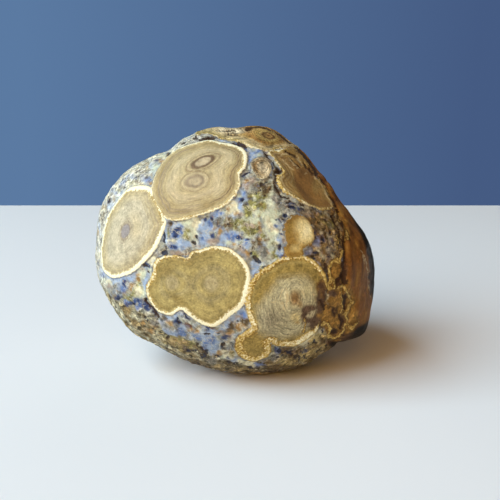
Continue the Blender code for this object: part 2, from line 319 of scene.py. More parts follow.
        (-30.7, 1.6, 0.4, 2.7, 88), (15.1, -21.8, 0.4, 0.7), (6.2, -24, 1.1, 0.4),
        (10.4, -20.9, 0.9, 0.4), (8.7, -23.6, 0.9, 0.7),
    ],
    "pink": [
        (-12.9, -0.4, 1.3, 0.7), (-5.3, 2.4, 1.1, 0.8), (-4.2, 3.1, 0.4, 0.9),
        (1.8, 0.2, 1.6, 0.7, -35), (3.1, 5.8, 1.3, 0.4, -12), (3.3, 15.8, 1, 0.8),
        (2.4, 14.9, 0.7, 1.1), (9.1, 10.9, 0.3, 0.9, 10), (10.4, 2.7, 0.3, 0.9, 10),
        (0.9, 8.2, 0.7, 0.4), (7.3, 20.2, 0.6, 0.7, -40), (-21, -3.8, 0.5, 0.4),
        (-1.3, -18.2, 0.8, 0.9), (-28.2, -7.8, 0.7, 0.4), (-3.1, -17.6, 0.5),
        (0.9, -14.4, 0.9, 0.4), (15.6, 8.3, 0.5, 0.3),
    ],
    "brown": [
        (4.9, 14.8, 0.8, 0.6), (7.1, 13.8, 0.5, 0.9), (-7.3, -21.8, 0.9, 0.7, 30),
        (12.7, -22, 0.9, 0.6, 20), (17.6, -21.1, 0.7, 0.4, 20), (20.2, -21.3, 0.9, 0.4, 30),
        (-1.8, 6.7, 0.7, 1.3, -20), (-1.3, 5.8, 0.7, 0.7, -30), (5.1, 2.7, 0.8),
        (5.3, 1.7, 0.8, 0.7), (4, 2, 0.6), (6.7, 2.7, 0.6, 0.4), (6.2, 14.7, 1.1, 0.7),
        (6.4, 13.6, 0.9, 1.1), (-14.4, 6, 0.6, 0.4), (-3.1, 5.8, 0.4), (4.9, 1.1, 0.9, 0.2),
        (7.1, 16.4, 0.7, 0.4), (9.3, 17.8, 0.7, 0.6), (9.8, 13.8, 0.4, 1.6, -20), (2.9, 12, 0.4),
        (3.8, 0.9, 0.3, 0.7), (2.4, 10.2, 0.6, 0.3), (12.4, 10.7, 1.1, 0.3, -25),
        (-2.7, -20.9, 0.6), (-0.9, -16.4, 0.9, 0.7, 20), (1.8, -15.6, 0.9, 1.1), (-1.3, -17.3, 0.7),
        (-18, -16.7, 0.7, 0.4), (-8.7, -21.6, 1.3, 0.4, -35), (-10.7, -21.6, 2, 0.4, -20),
        (-18, -12.7, 0.4, 0.9, 30), (-21.6, 18, 0.8, 0.3), (-20.3, 18.1, 0.3), (-22.1, 15.8, 0.4),
        (-28.9, 9.6, 0.5, 0.4), (-29.7, 8.4, 0.3, 0.8), (-19.8, 19.6, 0.3, 0.7),
        (-29.9, 7.3, 0.3, 0.6), (-14.9, 21.7, 0.5, 0.4), (13.8, 6.9, 0.9), (16.9, 6.7, 0.5, 1.1),
        (17.7, 5.1, 0.5, 1.1, -15), (19.6, 7.2, 0.9, 0.4), (17.3, 8.2, 1.1, 0.7, -20),
        (23.1, 6, 0.4, 0.9), (20, 5.1, 0.7, 0.4), (17.8, -1.6, 0.9, 0.4), (22.4, 4.4, 0.4, 0.7),
        (10.9, -22.2, 1.6, 1.1), (13.8, -22, 0.7, 0.9), (16.2, -21.4, 0.4), (19.1, -20, 0.7),
        (9.1, -25.6, 1.8, 0.4), (17.1, -22.9, 0.4), (20.4, -20.2, 0.7), (12.4, -23.1, 1.1, 0.9),
        (7.6, -24.4, 0.9, 0.4),
    ],
    "rust": [
        (0.6, -16.9, 1, 0.8), (-1.1, -18, 0.7, 0.4, 20), (-11.1, -0.4, 1.1, 0.3, 15),
        (-9.3, 0, 1.1, 0.3, 20), (-3.7, 4.7, 0.5, 0.8), (5.4, 5.6, 0.4, 1), (-0.4, 1.7, 0.4),
        (7.1, -0.4, 0.4), (2.7, -0.2, 0.7, 0.4, -30), (-1.8, 9.6, 0.4), (0, 8.4, 0.4, 0.5),
        (2.7, 15.6, 0.5, 0.4), (-2, 7.6, 0.3, 0.6), (-23.3, -7.8, 1, 0.4, 55),
        (-21.8, -5.9, 0.5, 0.6), (-24.7, -9.1, 0.4), (-14.8, -15.8, 1.2, 0.4, -38),
        (-10.2, -17, 0.9, 0.4, -40), (-8.9, -17.6, 0.5), (0.7, -16.7, 1.1, 0.7, 10),
        (-4, -22.8, 0.7, 0.4, 30), (-20.7, -15.8, 0.5, 0.4), (-19.1, -17.6, 0.9, 0.5, -15),
        (-3.9, -17.7, 0.4, 0.3), (-16.9, 20.3, 0.7, 0.4), (-18.8, 15.2, 0.4),
        (-19.8, 19.1, 0.3, 0.4), (-21.6, 19.6, 0.4, 0.2), (-29.3, 9.8, 0.4, 0.3),
        (19.3, 0, 0.4, 0.6), (-30.7, 4.4, 0.3, 0.7), (-23.6, -7.7, 0.4, 0.9, -28),
        (-21.8, -5.2, 0.4),
    ],
    "red": [
        (-4.4, 5.8, 0.3, 0.7, -20), (-10.7, -16.2, 1.3, 0.4, -32), (-5.3, -16.8, 0.8, 0.2),
    ],
    "blue": [
        (-5.6, -19.6, 1.1, 0.7), (-6.6, -20.4, 0.4, 1.1, -10), (-16.9, 4.4, 0.4, 1.1, 10),
        (-12.2, 4.7, 0.6, 1.1), (-14.2, 4.4, 0.6, 0.9), (-13.1, 3.6, 0.9, 0.4),
        (-14.2, 1.3, 1, 0.7, -25), (-5.8, 6.4, 0.6, 0.9), (-0.7, 3.3, 1.3, 0.7),
        (-2.2, 3.8, 0.6, 0.4), (3.1, 20.9, 0.4, 1.1), (6.2, 20.4, 0.9, 0.4, -45),
        (7.8, 18.9, 0.4, 0.9, -20), (1.6, 13.1, 0.3, 0.8), (0.7, 11.6, 0.7, 0.4),
        (-3.6, 8.4, 0.9, 0.4), (-7.3, 2.9, 0.7, 0.3), (8.9, 5.8, 0.7, 0.4, 40),
        (10.4, -1.1, 0.9, 0.6, -10), (2.4, 2, 0.4, 0.7), (4.9, 22.2, 0.9, 0.3),
        (2.2, 22.7, 0.7, 0.4, -30), (-21.8, -11.6, 1, 1.2, 10), (-24, -11.3, 0.9, 0.6, -10),
        (-24.9, -8.2, 0.7, 0.9), (-12.2, -18, 1.1, 0.9), (-8.4, -19.3, 0.9, 0.7),
        (1.8, -13.8, 0.7, 0.9), (4.9, -25.1, 0.9, 0.4), (-29.6, -5.1, 0.6, 0.7),
        (-20, 16.3, 1.1, 0.5), (-19.8, 15.8, 0.5, 0.4), (-25.3, 15.2, 0.9, 0.3, 45),
        (-24, 17.1, 0.6, 0.3, 45), (-22.9, 16.4, 0.4, 0.3), (-26.9, 13.1, 0.2, 0.5),
        (17.8, 2.4, 0.7, 0.9, 10), (16, -0.4, 0.7, 0.4), (9.2, -22, 0.4, 0.7),
        (5.8, -25.1, 0.7, 0.3),
    ],
    # Three of these, in the small pit beside the smallest orb and under the top edge's lip, are
    # painted shade in those hollows.
    "deep_blue": [
        (12.3, 10.2, 1, 0.4, 10), (11, 8.2, 0.6), (10, 7.2, 0.6, 0.4, -30),
        (13.8, 9.3, 0.7, 0.3, -20), (-13.6, 4.3, 0.8), (9.7, 1, 0.4, 0.7),
        (-19.8, -12, 1.3, 0.8, -35), (-18, -13.4, 1, 0.5, -48), (-22.7, -11.3, 1.1, 0.4, -10),
        (0.9, 23.8, 1.6, 0.6, -25), (-7.6, 24.9, 1.6, 0.4, 8), (-13.3, 4.9, 0.7, 0.4, 10),
        (-14.1, 1.2, 0.8, 0.4, -25), (-5.4, 3.6, 0.5), (0.7, 3.3, 0.5, 0.4),
        (-6.6, 7.3, 0.5, 0.3, 20), (1.3, 11.4, 0.5, 0.4), (10.4, -0.9, 0.6, 0.4),
        (2.8, 2.9, 0.4, 0.3), (-5.1, 7.1, 0.3, 0.7), (2.2, 17.2, 1, 0.4, 40), (8.2, 18.7, 0.3, 0.4),
        (10.2, 4, 0.3), (8.9, 5.7, 0.3), (12.4, 9.8, 0.9, 0.4, -10), (-24.7, -7, 0.5, 0.7),
        (-30.6, -2.6, 0.4, 0.7), (-30.2, -6.7, 0.3, 0.7, -25), (-26.1, -10.1, 0.8, 0.6, -20),
        (-24, -11.6, 0.8, 0.3), (-21.3, -10.9, 0.9, 0.4), (-6.4, -17.3, 0.6, 0.4),
        (-12.8, -15.7, 1, 0.5, -5), (-20, -3, 1, 0.5, -15), (-2.4, -18.9, 1, 0.3, 15),
        (-11.1, -14.3, 0.9, 0.3, -45), (-1.6, -23.7, 0.5, 0.4), (-28.2, 11.2, 0.4, 0.6, -20),
        (-20.8, 16.9, 0.4), (-19.8, 16.4, 0.6, 0.3), (-17.8, 20.1, 0.4, 0.3), (-18, 19.7, 0.2, 0.4),
        (19.3, 2.9, 0.5, 0.7, -10), (18.7, 2.9, 0.4, 0.7), (21.6, 2.4, 0.4, 0.6),
        (17.8, 4.2, 0.4, 0.7), (8.7, -21.6, 0.4, 0.5), (15.7, -21.8, 0.6, 0.4),
        (14.9, -23.3, 0.4, 0.2),
    ],
}
# Dark specks of the ground. Those in the small pit between the high middle orb and the smallest orb,
# and under the top edge's lip, are painted shade in those hollows.
DARK_SPECKS_AND_PIT_SHADE = [
    (4.3, -1.2, 0.7, 0.6), (3.6, -0.4, 0.4, 0.3), (5.8, 15.1, 0.4, 0.3), (5.1, 13.8, 0.3, 0.4),
    (-2.9, -20.7, 0.5), (-6.7, -22.4, 0.9, 0.5, 35), (-6.2, -18.3, 0.6, 0.2),
    (20, -20.9, 0.7, 0.3, 40), (18.2, -22.4, 0.8, 0.3, 50), (16.7, -23.6, 0.6, 0.3, 30),
    (21.1, -19.6, 0.4), (16, -20.2, 0.4, 0.3), (12, -22, 0.5, 0.3, 20), (9.6, -22, 0.6, 0.4),
    (13.6, -23.3, 0.7, 0.4, 30), (-15.8, -0.2, 0.9, 0.6, 35), (-5.8, 25.1, 1.6, 0.3, 5),
    (1.1, 24.1, 1.3, 0.4, -25), (-11.6, 24.2, 0.7, 0.3, 20), (-9.1, 25.3, 0.7, 0.3, 10),
    (-16, 3.3, 0.3, 2.7, 10), (-13.2, 4.9, 0.4, 0.2), (-9.3, 1.9, 0.5, 0.3, -35),
    (-8.7, 3.1, 0.2, 0.7, 15), (-6, 7.8, 0.6, 0.2, 20), (-4.2, 7.8, 0.5, 0.2, -40),
    (-5.1, 7.3, 0.2, 0.4), (-5.4, 3.6, 0.2), (1.4, 2.9, 0.3, 0.2), (0.9, 0.9, 0.3, 0.2),
    (2.8, 2.9, 0.2), (3.7, -0.1, 0.4, 0.3), (4.8, -1.7, 0.7, 0.5, -30), (5.3, -2.2, 0.4),
    (9, 7.3, 0.4, 0.3), (11.1, 8.1, 0.5), (10.4, 7.4, 0.4, 0.3), (12, 9.7, 0.7, 0.2),
    (13, 9.7, 0.5, 0.3, -15), (11.4, 10.7, 0.5, 0.2, 10), (12, 11.2, 0.4, 0.2),
    (9.9, 1.1, 0.3, 0.3, -20), (10.7, -1, 0.3), (10.2, 4, 0.2), (2.2, 17.3, 0.9, 0.3, 40),
    (3.6, 17.2, 0.9, 0.2, -38), (1.6, 14.1, 0.3), (5.6, 15.4, 0.5, 0.2), (6.7, 15.6, 0.4, 0.2),
    (1.4, 11.3, 0.4, 0.3), (4.6, 12.9, 0.2), (6.4, 12.4, 0.4, 0.2), (6.4, 14, 0.4, 0.2),
    (6, 13.1, 0.2, 0.4), (8.9, 6, 0.2), (4, 4.2, 0.3, 0.2, 30), (7.8, 15.1, 0.2),
    (-13.8, 3.6, 0.3, 0.2), (9.8, 17.9, 0.4, 0.2, -40), (-6, 6.2, 0.2), (10.9, 0.7, 0.2, 0.4),
    (7.3, 13.8, 0.2), (-1.8, 6.2, 0.3, 0.2), (-20, -3.2, 0.7, 0.4, -15),
    (-25.9, -10.3, 0.5, 0.4, -20), (-22.9, -11.6, 0.6, 0.4, -20), (-22.9, -10.1, 0.8, 0.2, 35),
    (-20, -10.8, 0.4, 0.6), (-12.9, -14.9, 0.3, 0.4), (-12.7, -15.8, 0.7, 0.3, -5),
    (-11.1, -14.4, 0.8, 0.2, -45), (-3.8, -18.2, 0.5, 0.3, 10), (0.3, -15.6, 0.6, 0.4, -10),
    (-3.2, -21, 0.2, 0.8), (-2.6, -21.7, 0.7, 0.2, 5), (-4, -23.3, 0.7, 0.2, 10),
    (-3.6, -24, 0.4, 0.2, -20), (-1.6, -24.6, 0.8, 0.3, -10), (0, -25, 0.7, 0.4),
    (-4.4, -23, 0.4, 0.3), (-6.2, -23.6, 0.4), (-8.4, -20.9, 0.8, 0.2, -40),
    (-7.6, -21.7, 0.3, 0.6), (-15.9, -18.4, 0.4, 0.3), (-15.2, -19.1, 0.4, 0.6),
    (-20.3, -14.4, 0.3, 0.7), (-19.6, -15.3, 0.3, 0.6), (-19.6, -4.5, 0.7, 0.2, -40),
    (-18.2, -16.7, 0.7, 0.2), (-15.8, -21.1, 0.9, 0.2, -30), (4.2, -23.8, 1.3, 0.2),
    (3.1, -25.7, 1.3, 0.3, -5), (-9.8, -22.2, 1.6, 0.4, -10), (-7.3, -23.1, 0.9, 0.7),
    (-28.2, 11.1, 0.3, 0.4), (-19.7, 16.5, 0.4, 0.2), (-18.8, 20.5, 0.3, 0.2),
    (-17.8, 20.1, 0.2, 0.3), (-14.9, 22.1, 0.4, 0.2), (-14.7, 21.6, 0.3, 0.2),
    (19.3, 2.8, 0.4, 0.6, -20), (21.4, 7.6, 0.4), (17.8, -0.4, 0.7, 0.4, -20),
    (15, 9.2, 0.7, 0.2, -15), (21.6, 0.1, 0.2, 0.8, -15), (20.9, 4.4, 0.4), (17.8, 3, 0.2, 0.4),
    (20.4, -1, 0.3), (22, 1.7, 0.2, 0.7), (17.2, -1.3, 0.4, 0.3), (20.2, 1.1, 0.3, 0.4),
    (22, 8.7, 0.2, 0.9, -30), (-30.7, -2.4, 0.2, 0.7), (11.3, -22.2, 0.7, 0.4),
    (10.4, -23.1, 0.4, 0.3), (15.3, -23.3, 0.8, 0.3, -50), (14.6, -22.3, 0.4, 0.2, -60),
    (17.6, -20, 0.5, 0.6), (18.7, -21.6, 0.3), (14.1, -24.2, 0.3, 0.9, 10),
    (13.1, -24.2, 1.1, 0.2, 58), (19.2, -17.6, 0.4, 0.6), (9.3, -23.3, 0.3),
    (12.4, -22.9, 0.7, 0.4), (8, -26.7, 1.8, 0.3),
]
FROST_EDGE = [  # the pale worn margin, crowded with specks
    (-4.7, 29.8), (-4.7, 25.1), (-6.7, 24.9), (-11.1, 23.7), (-13.6, 22.8), (-15.6, 21.8),
    (-17.3, 20.2), (-20, 16.4), (-22, 15.1), (-24, 14.4), (-25.8, 12.4), (-27.6, 10), (-28.9, 7.3),
    (-29.8, 3.8), (-30.1, 0), (-30, -3.6), (-29.1, -5.3), (-27.6, -6.7), (-29.3, -8.4), (-32, -7.3),
    (-34.7, -1.8), (-34.7, 11.6), (-25.8, 24.9), (-14.7, 29.8),
]
ROUGH_EDGE = [  # the left edge and the underside, worn rough
    (32, -24), (14, -38), (-30, -33), (-39, -10), (-30.4, -6.4), (-26.9, -10.2), (-24.7, -11.8),
    (-21.3, -12.7), (-17.6, -14.7), (-15.8, -16.4), (-14.2, -18.7), (-8.9, -20.7), (-6.4, -22.2),
    (-3.6, -23.3), (0.9, -24.2), (5.5, -24.2), (9.6, -21), (14, -20.6), (16.4, -18.7),
    (19.8, -18.2), (24.2, -20),
]
COARSE_EDGE = [  # brown and sandy, beside the rind
    (15.6, 10.2), (17.6, 9.1), (19.8, 8.7), (21.3, 9.8), (22.9, 7.8), (24.2, 5.3), (24.9, 2.7),
    (24.2, -0.7), (23.3, -1.3), (21.1, -1.8), (20.4, -3.6), (19.1, -3.3), (17.6, -1.8),
    (15.6, -1.1), (14.9, 0.4), (16.2, 1.3), (17.8, 3.1), (16.9, 5.8), (15.3, 7.8), (13.8, 8.9),
]
CRUMBS = [  # colour, size, and how high its waves rise before it shows
    ((0.66, 0.64, 0.50), 1.0, 0.34),
    ((0.17, 0.24, 0.38), 1.2, 0.40),
    ((0.16, 0.11, 0.06), 0.9, 0.36),
    ((0.36, 0.19, 0.06), 0.8, 0.46),
]
SCATTERED = 900  # patches on the sides that are not seen
DARK_SHARE = 0.12  # the dark specks' share of them
SMALL = 0.55  # the size of those specks, and of the darkest kinds, beside the others
NO_PATCH = -3.0  # the depth of a point that is far from any patch

drift = np.stack([waves(1.7, 21.0, 2), waves(1.7, 31.0, 2)], axis=1)
warped = seen + 0.45 * drift  # seen places, shaken so that ovals come out uneven
crumble = 0.32 * waves(0.7, 45.0, 2)
rolling = waves(6.0, 3.0, 2)
turning_away = ease(facing, 0.1, 0.0)  # 1 at the horizon and beyond


def oval_distance(places, centre, half_length, half_width=None, turn=0):
    """How far each place is from an oval: negative inside it. It is round if given no width."""
    half_width = half_width or half_length
    turn = radians(turn)
    offset = places - centre
    along = offset @ np.array([cos(turn), sin(turn)])
    aside = offset @ np.array([-sin(turn), cos(turn)])
    return (np.hypot(along / half_length, aside / half_width) - 1) * min(half_length, half_width)


def patch_field(patches):
    """How far inside the nearest of the patches each point lies, in millimetres."""
    field = np.full(len(points), NO_PATCH)
    for right, rise, *shape in patches:
        field = np.maximum(field, -oval_distance(warped, (right, rise), *shape))
    return np.where(facing > 0, field + NO_PATCH * turning_away, NO_PATCH)


def scattered_field(centres, sizes):
    """The same for roundish patches at points of the skin."""
    field = np.full(len(points), NO_PATCH)
    for centre, size in zip(centres, sizes):
        apart = np.linalg.norm((strewn - centre) * chance.uniform(0.7, 1.5, 3), axis=1)
        field[unseen] = np.maximum(field[unseen], size - apart)
    return field


past_horizon = np.maximum(facing > 0, ease(facing + 0.35 * rolling, -0.3, -0.1))


def seen_area(outline, wobble, soft):
    """1 inside a seen outline, with its edge moved by wobble, and 0 on the far side."""
    return ease(-edge_distance(seen, np.array(outline)) + wobble, -soft, soft) * past_horizon


def lay(paint, cover, colour):
    """Lays a colour, or a number, over a paint where cover is 1."""
    if paint.ndim == 2:
        cover = cover[:, None]
    paint += (np.array(colour) - paint) * cover


def mixed(share, start, end):
    """The colours from start to end for each share."""
    return np.array(start) + share[:, None] * (np.array(end) - np.array(start))


GREY_GROUND, BLUE_GROUND = (0.36, 0.37, 0.29), (0.27, 0.32, 0.38)
BROWN_GROUND, LOW_GROUND_SHADE = (0.21, 0.17, 0.10), (0.10, 0.10, 0.095)
FROST, FROST_BLUE, FROST_TAN = (0.58, 0.54, 0.40), (0.42, 0.44, 0.46), (0.44, 0.39, 0.26)
ROUGH_PALE, ROUGH_BROWN = (0.385, 0.385, 0.265), (0.205, 0.165, 0.08)
ROUGH_GOLD, ROUGH_CREAM = (0.53, 0.385, 0.14), (0.50, 0.44, 0.27)
ROUGH_UMBER, ROUGH_FOOT_SHADE = (0.075, 0.052, 0.022), (0.065, 0.042, 0.017)
COARSE_BROWN, COARSE_UMBER = (0.17, 0.10, 0.034), (0.065, 0.038, 0.017)
COARSE_PALE = (0.32, 0.215, 0.08)

rough = seen_area(ROUGH_EDGE, 0.8 * rolling, 0.8)
rough = np.maximum(rough, (facing <= 0) * ease(points[:, 2], 17.0, 11.0))
coarse = seen_area(COARSE_EDGE, crumble, 0.5)
frost = seen_area(FROST_EDGE, 0.6 * rolling, 0.6)
worn = np.maximum(rough, coarse)

ground = mixed(ease(waves(2.6, 41.0, 2), -0.35, 0.35), GREY_GROUND, BLUE_GROUND)
lay(ground, 0.8 * ease(waves(2.2, 43.0, 2), 0.05, 0.5), BROWN_GROUND)
lay(ground, frost, mixed(ease(waves(1.5, 47.0, 2), -0.1, 0.3), FROST, FROST_BLUE))
lay(ground, 0.8 * frost * ease(waves(1.1, 49.0, 2), 0.15, 0.35), FROST_TAN)
lay(ground, coarse, COARSE_BROWN)
lay(ground, coarse * ease(waves(1.4, 67.0, 2), 0.05, 0.3), COARSE_UMBER)
lay(ground, 0.8 * coarse * ease(waves(0.9, 69.0, 2), 0.15, 0.3), COARSE_PALE)
along_edge = (2.5, 1, 1)
rough_paint = mixed(ease(waves(1.8, 61.0, 2, along_edge), -0.3, 0.4), ROUGH_PALE, ROUGH_BROWN)
lay(rough_paint, 0.8 * ease(seen_right, 11.0, 16.0), ROUGH_GOLD)
flecked = 0.35 + 0.2 * ease(seen_right, 0.0, 11.0)
lay(rough_paint, flecked * ease(waves(0.9, 63.0, 2, along_edge), 0.12, 0.3), ROUGH_UMBER)
lay(rough_paint, flecked * ease(waves(0.8, 65.0, 2, along_edge), 0.2, 0.34), ROUGH_CREAM)
# The rough skin is painted dark brown near the floor: its own darker foot, deepened as painted shade
# under the stone.
lay(rough_paint, 0.85 * ease(points[:, 2] + 1.5 * rolling, 9.0, 4.0), ROUGH_FOOT_SHADE)
lay(ground, rough, rough_paint)
grit = 0.4 + 0.7 * worn

chance = np.random.default_rng(7)
unseen = np.flatnonzero(facing < 0.1)
strewn = (points + 1.3 * drift @ np.array([RIGHT, RISE]) + crumble[:, None] * NEAR)[unseen]
kinds = [*GROUND_KINDS, "dark"]
shares = np.array([*(kind[3] for kind in GROUND_KINDS.values()), DARK_SHARE])
centres = points[chance.choice(unseen, SCATTERED, replace=False)]
sizes = 0.3 + 2.2 * chance.random(SCATTERED) ** 2
chosen = chance.choice(len(kinds), SCATTERED, p=shares / shares.sum())
for index, (kind, (colour, gritty, soft, _)) in enumerate(GROUND_KINDS.items()):
    shrink = SMALL if kind in ("red", "deep_blue") else 1.0
    mine = chosen == index
    strewn_depth = scattered_field(centres[mine], sizes[mine] * shrink)
    patch_depth = np.maximum(patch_field(PATCHES[kind]), strewn_depth)
    cover = ease(patch_depth + crumble, -soft, soft)
    lay(ground, cover, colour)
    lay(grit, cover, gritty)
for index, (colour, size, rise) in enumerate(CRUMBS):
    field = waves(size, 91.0 + 7 * index, 2) + 0.12 * (grit - 0.4)
    lay(ground, 0.3 * (1 - 0.7 * rough) * ease(field, rise, rise + 0.12), colour)
lay(ground, 0.2 * rough + 0.5 * coarse, COARSE_BROWN)
lay(ground, 0.35 * frost, FROST)
# Painted shade: the ground darkens towards the bottom of the show side.
lay(ground, 0.25 * (1 - rough) * ease(seen_rise, -15.0, -21.0), LOW_GROUND_SHADE)
speck_depth = patch_field(DARK_SPECKS_AND_PIT_SHADE) + 0.5 * crumble - 0.06
mine = chosen == kinds.index("dark")
speck_depth = np.maximum(speck_depth, scattered_field(centres[mine], sizes[mine] * SMALL))
specks = np.maximum(ease(speck_depth, -0.4, 0.35), np.maximum(0.32 * frost, 0.2 * worn))

# ---------------------------------------------------------------------------------------
# The orbs
# Round growths of ringed agate, cut through where the skin crosses them. Each has a rim, a
# pattern of rings that runs from its nuclei out to the rim, and bands of its own colours.
# ---------------------------------------------------------------------------------------

TAN, PALE_TAN, DEEP_TAN = (0.425, 0.345, 0.178), (0.525, 0.44, 0.26), (0.34, 0.26, 0.12)
BEIGE, MAUVE, MAUVE_BROWN = (0.47, 0.415, 0.28), (0.29, 0.235, 0.165), (0.165, 0.11, 0.065)
HONEY, DARK_HONEY, GREY_HONEY = (0.37, 0.295, 0.11), (0.25, 0.18, 0.055), (0.32, 0.265, 0.12)
OLIVE, DEEP_OLIVE, ASH = (0.275, 0.197, 0.055), (0.205, 0.135, 0.033), (0.405, 0.365, 0.215)
GOLD_BROWN, FAWN, CREAM_TAN = (0.34, 0.225, 0.075), (0.44, 0.345, 0.18), (0.74, 0.64, 0.42)
UMBER, SEPIA, OCHRE = (0.25, 0.135, 0.04), (0.13, 0.07, 0.028), (0.36, 0.24, 0.062)
PALE_OCHRE, PALE_CORE, LILAC = (0.74, 0.62, 0.30), (0.48, 0.40, 0.25), (0.30, 0.27, 0.25)

